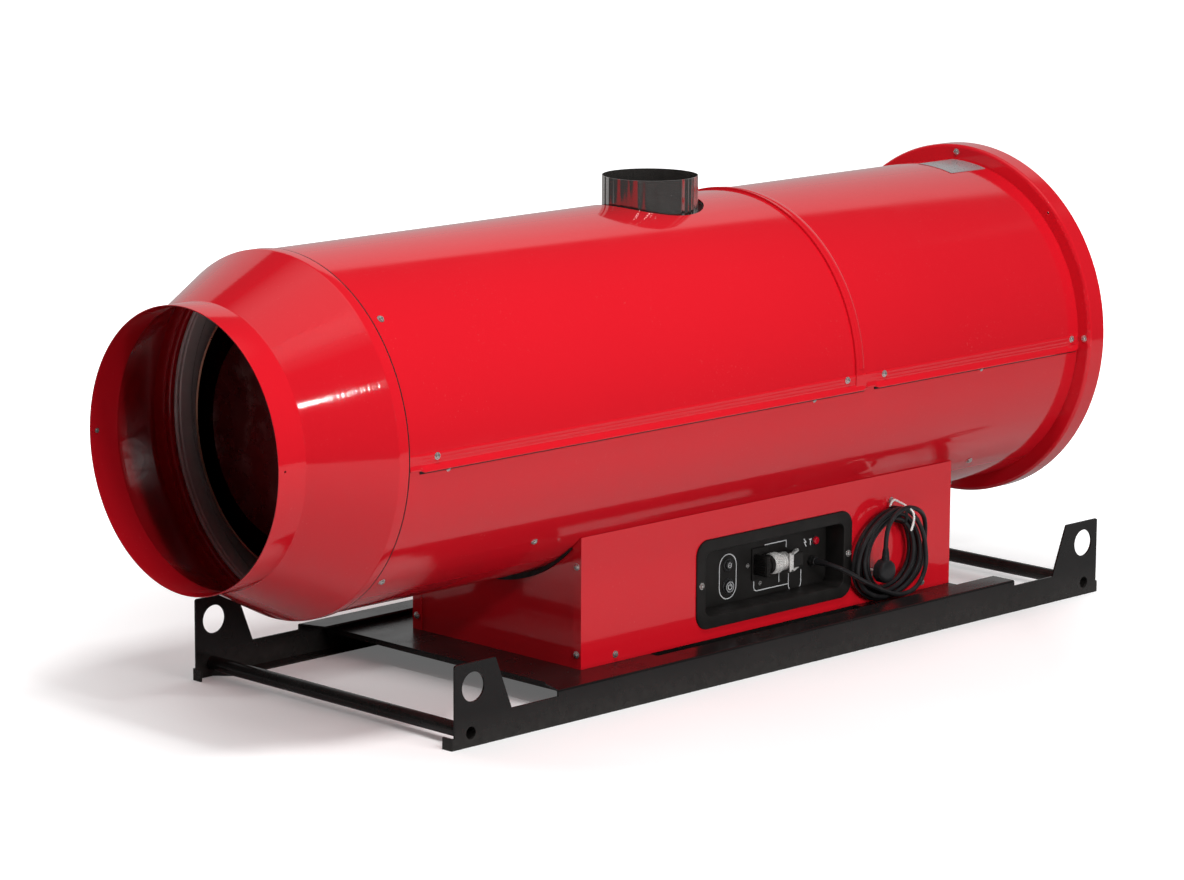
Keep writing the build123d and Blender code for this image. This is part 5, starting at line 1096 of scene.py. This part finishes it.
def twisted(line, reach, pitch):
    """Two strand lines twisted round a fine line of points."""
    strands = ([], [])
    for (point, side, other), walked in zip(across(line), distances(line)):
        for k in (0, 1):
            turn = 2 * pi * walked / pitch + k * pi
            strands[k].append(point + (side * cos(turn) + other * sin(turn)) * reach)
    return strands


def fine(points, steps):
    """More points along straight runs, for twisting."""
    line = []
    for a, b in zip(points, points[1:]):
        line += [a.lerp(b, i / steps) for i in range(steps)]
    return line + [points[-1]]


def make_tie():
    """Band of three loops round the coil's top, and a twisted wire from the hook screw to a loose end."""
    loop_high = tie_low.z + (tie_high.z - tie_low.z) * TIE_LOOP_SHARE
    front = tie_low.y + BAND_INSET
    back = tie_high.y - BAND_INSET
    between = (front + back) / 2
    hook = Vector((coil_top_x + 8 * MM, panel_y - HOOK_STAND, tie_high.z - 1 * MM))
    corners = [
        Vector((coil_top_x, between, loop_high + 1 * MM)),
        Vector((coil_top_x, front + 3 * MM, loop_high - 1 * MM)),
        Vector((coil_top_x, front, loop_high - 7 * MM)),
        Vector((coil_top_x - 1 * MM, front, tie_low.z + 8 * MM)),
        Vector((coil_top_x - 1 * MM, front + 2 * MM, tie_low.z + 2 * MM)),
        Vector((coil_top_x - 1 * MM, between, tie_low.z + 1.2 * MM)),
        Vector((coil_top_x, back - 2 * MM, tie_low.z + 2 * MM)),
        Vector((coil_top_x, back, tie_low.z + 8 * MM)),
        Vector((coil_top_x, back, loop_high - 6 * MM)),
        Vector((coil_top_x + 1 * MM, back - 3 * MM, loop_high)),
    ]
    band = bmesh.new()
    for shift in (-BAND_STEP, 0, BAND_STEP):
        ring = [point + Vector((shift, 0, 0)) for point in points_on(corners + corners[:1])]
        tube_along(band, ring, BAND_WIRE, 8)
    clamp = piece_from(band, "cord_tie_band", "seal_rubber")
    loop_front = Vector((coil_top_x, front, loop_high))
    tail = points_on(
        offsets(hook, (-7, -1, -9), (-5, -1, -2), (-2, -4, 3), (3, -8, 1))
        + offsets(loop_front, (12, -1, -2), (15, -2.4, -14), (13, -2.2, -26), (9, -1.4, -36))
    )
    bm = bmesh.new()
    for strand in twisted(fine(tail, 3), TWIST_REACH, TWIST_PITCH):
        tube_along(bm, strand, TIE_WIRE, 8)
    wire = piece_from(bm, "cord_tie_wire", "tie_white")
    for piece in (clamp, wire):
        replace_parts(piece, "cord_tie")


make_tie()


# Side hems: the covers' lower edges, turned out over the lower shell

HEM_FLARE = 4.4 * MM
HEM_SHEET = 1.3 * MM
HEM_HEIGHT = 22 * MM
HEM_DROP = 2.6 * MM
RIDGE = 0.7 * MM
hem_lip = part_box("front_cover")[1].y - 2 * MM
hem_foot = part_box("rear_cover")[0].z


def hem_spans():
    """Start and end of each cover's hem along the casing."""
    first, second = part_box("front_cover"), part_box("rear_cover")
    return [(first[0].x + 0.5 * MM, first[1].x - 1 * MM), (first[1].x + 3 * MM, second[1].x - 4 * MM)]


def half_width(z):
    """Half width of the covers at a height."""
    return (hem_lip ** 2 - (z - axis_z) ** 2) ** 0.5


def hem_section(flare):
    """Section of a hem: a foot turned out by a share of the full flare, under three fine ridges."""
    drop = HEM_DROP * flare
    near = hem_lip + 0.3 * MM
    reach = HEM_FLARE * flare
    section = [(half_width(hem_foot + HEM_HEIGHT) - 0.6 * MM, hem_foot + HEM_HEIGHT)]
    for share in (0.86, 0.62, 0.38):
        z = hem_foot + HEM_HEIGHT * share
        section += [
            (half_width(z) + 0.15 * MM, z + 2.0 * MM),
            (half_width(z) + RIDGE * (0.3 + 0.7 * flare), z),
            (half_width(z) + 0.15 * MM, z - 2.0 * MM),
        ]
    return section + [
        (near + reach * 0.2, hem_foot + 4.6 * MM),
        (near + reach * 0.62, hem_foot + 1.6 * MM),
        (near + reach, hem_foot - drop),
        (near + reach - 0.5 * MM, hem_foot - drop - HEM_SHEET),
        (hem_lip + reach * 0.4 - HEM_SHEET, hem_foot - 0.2 * MM),
        (hem_lip - 1.6 * MM, hem_foot + 5 * MM),
    ]


def along_casing(name, slot, stations):
    """Piece lofted along X on both sides, for each span, through stations(start, end) of (x, section)."""
    bm = bmesh.new()
    for side in (-1, 1):
        for start, end in hem_spans():
            loft(bm, [
                [bm.verts.new((x, side * y, z)) for y, z in section]
                for x, section in stations(start, end)
            ])
    piece_from(bm, name, slot)


def make_cover_hems():
    """Lower edges of both covers: fine ridges, a turned-out lip, and a step by the outlet's first screw."""
    def stations(start, end):
        flares = [
            (start, 0.12), (start + 20 * MM, 0.2), (start + 21.5 * MM, 0.5), (start + 25 * MM, 1),
            (end - 8 * MM, 1), (end, 0.5),
        ]
        return [(x, hem_section(flare)) for x, flare in flares]

    along_casing("cover_hems", "red_paint", stations)


def make_hem_shadow_strips():
    """Dark strips under the hems, on the lower shell: painted shadow under the turned-out lips."""
    # Painted shadow: a dark strip just below each hem's foot
    top, bottom = hem_foot - 1 * MM, hem_foot - 6.5 * MM
    section = [
        (half_width(z) - depth, z)
        for z, depth in ((top, 1.6 * MM), (top, 0.1 * MM), (bottom, 0.1 * MM), (bottom, 1.6 * MM))
    ]
    along_casing(
        "hem_shadow_strips", "seal_rubber",
        lambda start, end: [(start + 20 * MM, section), (end - 1 * MM, section)],
    )


BEAD_WIDTH = 14 * MM
BEAD_HEIGHT = 2.4 * MM
BEAD_STEPS = 120


def make_joint_bead():
    """Rounded swage in the rear cover's front edge, over the crown from hem to hem."""
    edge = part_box("front_cover")[1]
    start_x = edge.x - 15 * MM
    radius = edge.y - 3.4 * MM
    section = [(-0.5 * MM, -1.5 * MM), (0.0, 0.6 * MM), (1.2 * MM, BEAD_HEIGHT * 0.9), (3 * MM, BEAD_HEIGHT)]
    section += [(BEAD_WIDTH * 0.6, BEAD_HEIGHT * 0.9), (BEAD_WIDTH * 0.85, 1.0 * MM), (BEAD_WIDTH, -1.5 * MM)]
    bm = bmesh.new()
    rows = []
    for i in range(BEAD_STEPS + 1):
        turn = radians(3 + 174 * i / BEAD_STEPS)
        rows.append([
            bm.verts.new((start_x + x, (radius + h) * cos(turn), axis_z + (radius + h) * sin(turn)))
            for x, h in section
        ])
    loft(bm, rows)
    piece_from(bm, "joint_bead", "red_paint")


def make_base_angles():
    """Black folded angles along the box's lower edges, between the two shelves."""
    shelf_low, shelf_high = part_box("outlet_shelf")
    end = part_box("fan_shelf")[0].x
    half = abs(front_low.y)
    bm = bmesh.new()
    for side in (-1, 1):
        outer, wall, inner = (side * (half - depth * MM) for depth in (3, 4.5, 28))
        for edges, top in (((outer, wall), shelf_high.z - 0.2 * MM), ((wall, inner), shelf_low.z + SHEET)):
            low_y, high_y = sorted(edges)
            slab(bm, (shelf_high.x, low_y, shelf_low.z), (end, high_y, top), 0.5 * MM)
    piece_from(bm, "base_angles", "black_paint")


# Control tray: printed lines, collars and marks, socket, plug shell and latch

floor_y = socket_high.y
PRINT_PROUD = 0.15 * MM
PRINT_WIDTH = 1.5 * MM
MARK_WIDTH = 1.8 * MM
CAP_MARK_PROUD = 0.2 * MM
OUTLINE_TOP = 160 * MM
OUTLINE_BOTTOM = 89 * MM
OUTLINE_BEND = 19 * MM
COLLAR_STEPS = 48
SOCKET_RIBS = 7


def printed(bm, points, closed=False, width=PRINT_WIDTH, y=floor_y, proud=PRINT_PROUD):
    """Raised line of even width along (x, z) points on a plane that faces -Y, its corners mitred."""
    count = len(points)
    flat = [Vector(p) for p in points]
    rows = []
    for i, here in enumerate(flat):
        before = flat[i - 1] if closed or i else here
        after = flat[(i + 1) % count] if closed or i < count - 1 else here
        ways = [w.normalized() for w in (here - before, after - here) if w.length > 0]
        way = sum(ways, Vector((0, 0))).normalized()
        across_way = Vector((-way.y, way.x))
        stretch = 1 / max(0.5, way.dot(ways[0]))
        edge = across_way * width / 2 * stretch
        rows.append([
            bm.verts.new((p.x, y - lift, p.y))
            for p, lift in ((here - edge, 0), (here - edge, proud), (here + edge, proud), (here + edge, 0))
        ])
    if closed:
        join_rows(bm, rows, closed=True)
    else:
        loft(bm, rows)


reset = middle("reset_button")
power = middle("power_button")
lamp = middle("power_lamp")
socket = middle("thermostat_socket")


def make_prints():
    """Plain outlines round the buttons and the socket, and two small marks by the lamp."""
    bm = bmesh.new()
    x = (reset.x + power.x) / 2
    over = arc(x, OUTLINE_TOP - OUTLINE_BEND, OUTLINE_BEND, 0, 180)
    under = arc(x, OUTLINE_BOTTOM + OUTLINE_BEND, OUTLINE_BEND, 180, 360)
    printed(bm, over + under, closed=True)
    printed(bm, in_mm((182, 134), (182, 162), (231, 162), (231, 151)))
    corner = arc(164 * MM, 98 * MM, 7 * MM, 180, 270)
    printed(bm, in_mm((157, 107), (157, 98)) + corner + in_mm((236, 91)))
    printed(bm, in_mm((215, 112), (215, 97)))
    foot = arc(251.5 * MM, 90 * MM, 14.5 * MM, 180, 360)
    printed(bm, in_mm((237, 108), (237, 90)) + foot + in_mm((266, 110)))
    for mark in (
        in_mm((272, 158), (277, 152), (273.5, 152), (278, 145)),
        in_mm((284.5, 155), (291, 155)),
        in_mm((288, 154), (288, 146)),
    ):
        printed(bm, mark, width=MARK_WIDTH)
    repaint(piece_from(bm, "tray_prints", "tie_white"), print_grey)


def seat_ring(name, centre, inner, outer, height):
    """Rounded ring lying on the tray's floor round a part."""
    bm = bmesh.new()
    place = frame_at((centre.x, floor_y, centre.z), (0, -1, 0))
    loop = [
        (inner, 0), (outer, 0), (outer, height * 0.55), (outer - height * 0.3, height * 0.9),
        (outer - height * 0.6, height), (inner + height * 0.3, height), (inner, height * 0.75),
    ]
    rows = [
        [bm.verts.new(place @ Vector((r * cos(t), r * sin(t), h))) for t in around(COLLAR_STEPS)]
        for r, h in loop
    ]
    join_rows(bm, rows, closed=True)
    piece_from(bm, name, "button_plastic")


def button_mark(name, button, *lines):
    """Fine raised lines on a button's cap, each given as its points, whether it closes, and its width."""
    bm = bmesh.new()
    for points, closed, width in lines:
        printed(bm, points, closed, width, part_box(button)[0].y, CAP_MARK_PROUD)
    repaint(piece_from(bm, name, "button_plastic", button), print_grey)


def make_buttons():
    """Collars round the buttons and the lamp, and fine marks on both caps."""
    seat_ring("reset_collar", reset, 7.4 * MM, 10.6 * MM, 2.4 * MM)
    seat_ring("power_collar", power, 10.4 * MM, 13.0 * MM, 2.4 * MM)
    seat_ring("lamp_collar", lamp, 6.6 * MM, 8.2 * MM, 1.6 * MM)
    button_mark(
        "reset_mark", "reset_button",
        (arc(reset.x, reset.z, 3.6 * MM, 0, 345, 30), True, 0.8 * MM),
        ([(reset.x - 1.6 * MM, reset.z), (reset.x + 1.6 * MM, reset.z)], False, 0.8 * MM),
    )
    button_mark(
        "power_symbol", "power_button",
        (arc(power.x, power.z, 8.0 * MM, 0, 354, 60), True, 0.8 * MM),
        (arc(power.x, power.z, 4.3 * MM, 120, 420, 30), False, 1.2 * MM),
        ([(power.x, power.z + 1.2 * MM), (power.x, power.z + 6 * MM)], False, 1.2 * MM),
    )


plug_axis_y = (socket_high.y + socket_low.y) / 2
block_end = socket_low.x + 8 * MM
socket_end = socket_low.x + 20 * MM
shell_start = socket_end + 1.5 * MM


def make_socket():
    """Ribbed thermostat socket on a flange, with a round collar where the plug goes in."""
    low, high = socket_low, socket_high
    bm = bmesh.new()
    step = 3 * MM
    for start, end, edge, segments in (
        ((low.x - step, floor_y - 3 * MM, low.z - step), (high.x - 4 * MM, floor_y, high.z + step), 0.8, 2),
        ((low.x, low.y + 1 * MM, low.z + 6 * MM), (block_end, floor_y, high.z - 6 * MM), 2.2, 4),
        ((socket_end - 2 * MM, floor_y - 8 * MM, low.z + 8 * MM), (high.x, floor_y, high.z - 8 * MM), 1.2, 2),
    ):
        slab(bm, start, end, edge * MM, segments)
    for i in range(SOCKET_RIBS):
        z = low.z + 10 * MM + i * (high.z - low.z - 20 * MM) / (SOCKET_RIBS - 1)
        foot, top = z - 1.2 * MM, z + 1.2 * MM
        slab(bm, (low.x - 1 * MM, low.y + 4 * MM, foot), (low.x + 1.5 * MM, high.y - 5 * MM, top), 0.5 * MM)
        start, end = low.x + 2.4 * MM, block_end - 2.4 * MM
        slab(bm, (start, low.y + 0.2 * MM, foot), (end, low.y + 2 * MM, top), 0.4 * MM)
    place = frame_at((block_end - 1 * MM, plug_axis_y, socket.z), (1, 0, 0))
    reach = shell_start - block_end + 1 * MM
    turned(bm, [
        (0, 0), (12.6 * MM, 0), (12.6 * MM, reach * 0.45), (14.8 * MM, reach * 0.5),
        (15.4 * MM, reach * 0.58), (15.4 * MM, reach * 0.86), (14.6 * MM, reach), (0, reach),
    ], place, 64)
    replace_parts(piece_from(bm, "socket_ribbed", slot_of["thermostat_socket"]), "thermostat_socket")


SHELL_TEETH = 30
SHELL_FLUTE = 1.5 * MM


def make_plug_shell():
    """Die-cast shell of the thermostat plug: fluted grip and three ribs."""
    low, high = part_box("plug_shell")
    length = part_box("thermostat_plug")[0].x - shell_start
    full = (high.z - low.z) / 2
    grip = full + 2.2 * MM
    neck = full - 2.4 * MM
    stations = [
        (0.0, neck, 0), (0.0, grip - 2 * MM, 0), (0.03, grip - 0.8 * MM, 0.6), (0.08, grip, 1),
        (0.40, grip, 1), (0.46, grip - 1 * MM, 0.6), (0.50, grip - 3.4 * MM, 0),
    ]
    for i in range(3):
        start = 0.52 + i * 0.15
        stations += [
            (start, neck, 0), (start + 0.02, full - 0.4 * MM, 0), (start + 0.04, full, 0),
            (start + 0.08, full, 0), (start + 0.10, full - 0.4 * MM, 0), (start + 0.12, neck, 0),
        ]
    stations += [(1.0, neck, 0)]
    bm = bmesh.new()
    rows = []
    for share, radius, fluted in stations:
        x = shell_start + share * length
        ring = []
        for turn in around(SHELL_TEETH * 6):
            r = radius - SHELL_FLUTE * fluted * max(0.0, sin(turn * SHELL_TEETH)) ** 2
            ring.append(bm.verts.new((x, plug_axis_y + r * cos(turn), socket.z + r * sin(turn))))
        rows.append(ring)
    loft(bm, rows)
    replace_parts(piece_from(bm, "plug_shell_fluted", "bright_nickel", "plug"), "plug_shell")


LATCH_THICK = 2.8 * MM
LATCH_EYE = 4 * MM
LATCH_WIDTH = 5 * MM


def make_latch():
    """Bail that holds the plug: two arms from eyes on the block's pins to a bar across its front."""
    low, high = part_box("plug_latch")
    pin_x = high.x - LATCH_EYE
    front = low.y
    inside = front + LATCH_WIDTH
    reach = (high.z - low.z) / 2
    shape = [(low.x, front), (low.x + 7 * MM, front), (pin_x + 2 * MM, plug_axis_y - LATCH_EYE)]
    shape += arc(pin_x, plug_axis_y, LATCH_EYE, -60, 120)
    shape += [(pin_x - LATCH_WIDTH, plug_axis_y + 1 * MM), (low.x + 6 * MM, inside), (low.x, inside)]
    rivet = in_mm((0, 0), (2.9, 0), (2.9, 0.7), (2.2, 1.1), (0, 1.2))
    bm = bmesh.new()
    for way in (-1, 1):
        outer = socket.z + way * reach
        heights = sorted((outer, outer - way * LATCH_THICK))
        rims = [[bm.verts.new((x, y, z)) for x, y in shape] for z in heights]
        sides = join_rows(bm, rims)
        caps = [bm.faces.new(rims[0][::-1]), bm.faces.new(rims[1])]
        edges = list({e for face in caps for e in face.edges})
        bmesh.ops.recalc_face_normals(bm, faces=sides + caps)
        bmesh.ops.bevel(bm, geom=edges, offset=0.5 * MM, segments=2, profile=0.5, affect="EDGES")
        turned(bm, rivet, frame_at((pin_x, plug_axis_y, outer - way * 0.2 * MM), (0, 0, way)), 24)
    bar_start = (low.x - 3 * MM, front, socket.z - reach)
    slab(bm, bar_start, (low.x + 6 * MM, front + 1.8 * MM, socket.z + reach), 0.6 * MM)
    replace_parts(piece_from(bm, "plug_bail", "bright_nickel", "latch"), "plug_latch")


make_prints()
make_buttons()
make_socket()
make_plug_shell()
make_latch()
make_cover_hems()
make_hem_shadow_strips()
make_joint_bead()
make_base_angles()


# Floor, light and camera

PAPER_RADIUS = 2.6
PAPER_FADE_START = 0.7
PAPER_FADE_END = 1.6
PAPER_GLOW = 0.12
PAPER_GREY = 0.86
BOUNCE_RADIUS = 3.2
BOUNCE_GREY = 0.42
STAGE_RADIUS = 60
STAGE_STEPS = 96


def stage_ring(name, inner, outer, glow_from, glow_to, grey=PAPER_GREY, glow_low=PAPER_GLOW):
    """Round floor between two radii, matte and pale, with a glow that grows from one radius to another."""
    bm = bmesh.new()
    rims = [
        [bm.verts.new((r * cos(t), r * sin(t), 0)) for t in around(STAGE_STEPS)]
        for r in (outer, inner) if r
    ]
    if inner:
        join_rows(bm, rims)
    else:
        bm.faces.new(rims[0])
    floor = add_object(name, mesh_from(bm, name))
    paint = Paint(name, (grey, grey, grey), 0.6)
    paint.rough(paint.noise(3, 2), 0.55, 0.65)
    reach = add_node(paint.tree, "VectorMath", links={0: paint.coords}, operation="LENGTH")
    paint.set("Emission Color", (1, 1, 1, 1))
    glow = paint.span(reach.outputs["Value"], glow_from, glow_to, glow_low, 1.0)
    paint.link(glow, "Emission Strength")
    floor.data.materials.append(paint.material)
    return floor


for seen in (
    stage_ring("paper", 0, PAPER_RADIUS, PAPER_FADE_START, PAPER_FADE_END),
    stage_ring("surround", PAPER_RADIUS, STAGE_RADIUS, PAPER_RADIUS / 2, PAPER_RADIUS),
):
    seen.visible_glossy = False
    seen.visible_diffuse = False
    seen.visible_shadow = False
bounce = stage_ring("bounce", 0, BOUNCE_RADIUS, BOUNCE_RADIUS, 2 * BOUNCE_RADIUS, BOUNCE_GREY, 0.0)
bounce.location.z = -1 * MM
bounce.visible_camera = False


def area_light(name, place, target, size, power, mirrored=False):
    """Soft light aimed at a target. Only a mirrored one shows in glossy surfaces."""
    data = bpy.data.lights.new(name, "AREA")
    data.shape = "RECTANGLE"
    data.size, data.size_y = size
    data.energy = power
    light = add_object(name, data)
    light.matrix_world = frame_at(Vector(place), Vector(place) - Vector(target))
    light.visible_glossy = mirrored


KEY_PLACE, KEY_TARGET = (-1.73, -3.78, 2.73), (-0.6, 0, 0.45)
area_light("overhead", (-0.7, -1.1, 3.2), (-0.2, 0, 0.4), (1.2, 0.6), 64)
area_light("key", KEY_PLACE, KEY_TARGET, (0.1, 0.1), 10, mirrored=True)
area_light("key_soft", KEY_PLACE, KEY_TARGET, (0.3, 0.3), 36)
area_light("fill", (0.3, -5.2, 1.4), (0.0, 0, 0.3), (2.6, 1.8), 158)
area_light("back_fill", (-0.6, 5.0, 1.8), (0.0, 0, 0.4), (3.0, 1.8), 120)
area_light("fan_fill", (5.0, 0.9, 1.7), (0.8, 0, 0.4), (2.0, 1.6), 95)

WALL_TOP = sin(radians(38))
WALL_TOP_FADE = 0.02
WALL_FADE = (0.36, 0.72)
WALL_LIGHT = 0.46
WALL_FOOT_LIGHT = WALL_LIGHT * 0.6
CEILING_FADE = (0.8, 0.95)
CEILING_LIGHT = 0.6
ROOM_LIGHT = 0.05
WALL_DIRECTION = (sin(pi / 4), cos(pi / 4), 0)


def make_world():
    """Dim studio with a pale wall along one side, seen in the enamel, a soft light above and a white view."""
    world = bpy.data.worlds.new("studio")
    world.use_nodes = True
    tree = world.node_tree
    background = tree.nodes["Background"]
    background.inputs["Color"].default_value = (1, 1, 1, 1)
    coords = add_node(tree, "TexCoord").outputs["Generated"]
    height = add_node(tree, "SeparateXYZ", links={"Vector": coords}).outputs["Z"]
    side = add_node(tree, "VectorMath", {1: WALL_DIRECTION}, {0: coords}, operation="DOT_PRODUCT")
    facing = map_range(tree, side.outputs["Value"], *WALL_FADE)
    below_top = map_range(tree, height, WALL_TOP + WALL_TOP_FADE, WALL_TOP)
    light = map_range(tree, height, -1.0, WALL_TOP, WALL_FOOT_LIGHT, WALL_LIGHT)
    wall = combined(tree, "MULTIPLY", combined(tree, "MULTIPLY", facing, below_top), light)
    top = map_range(tree, height, *CEILING_FADE, ROOM_LIGHT, CEILING_LIGHT)
    seen = add_node(tree, "LightPath").outputs["Is Camera Ray"]
    strength = combined(tree, "MAXIMUM", combined(tree, "ADD", wall, top), seen)
    tree.links.new(strength, background.inputs["Strength"])
    return world


bpy.context.scene.world = make_world()
bpy.context.scene.view_settings.view_transform = "Standard"

CAMERA_PLACE = Vector((-4.7267, -4.6923, 1.6389))
CAMERA_AZIMUTH = radians(-44.963)
CAMERA_ELEVATION = radians(11.113)
CAMERA_ROLL = radians(0.304)
FOCAL_PIXELS = 4359.3
IMAGE_WIDTH = 1184
SENSOR_WIDTH = 36


def make_camera():
    """The photograph's camera: a long lens from the outlet side, a little above."""
    data = bpy.data.cameras.new("camera")
    data.lens = FOCAL_PIXELS / IMAGE_WIDTH * SENSOR_WIDTH
    data.sensor_width = SENSOR_WIDTH
    data.clip_end = 100
    back = Vector((
        sin(CAMERA_AZIMUTH) * cos(CAMERA_ELEVATION),
        -cos(CAMERA_AZIMUTH) * cos(CAMERA_ELEVATION),
        sin(CAMERA_ELEVATION),
    ))
    right = (-back).cross(Vector((0, 0, 1))).normalized()
    up = back.cross(right)
    rolled_right = right * cos(CAMERA_ROLL) + up * sin(CAMERA_ROLL)
    rolled_up = up * cos(CAMERA_ROLL) - right * sin(CAMERA_ROLL)
    turn = Matrix((rolled_right, rolled_up, back)).transposed().to_4x4()
    camera = add_object("camera", data)
    camera.matrix_world = Matrix.Translation(CAMERA_PLACE) @ turn
    bpy.context.scene.camera = camera


make_camera()
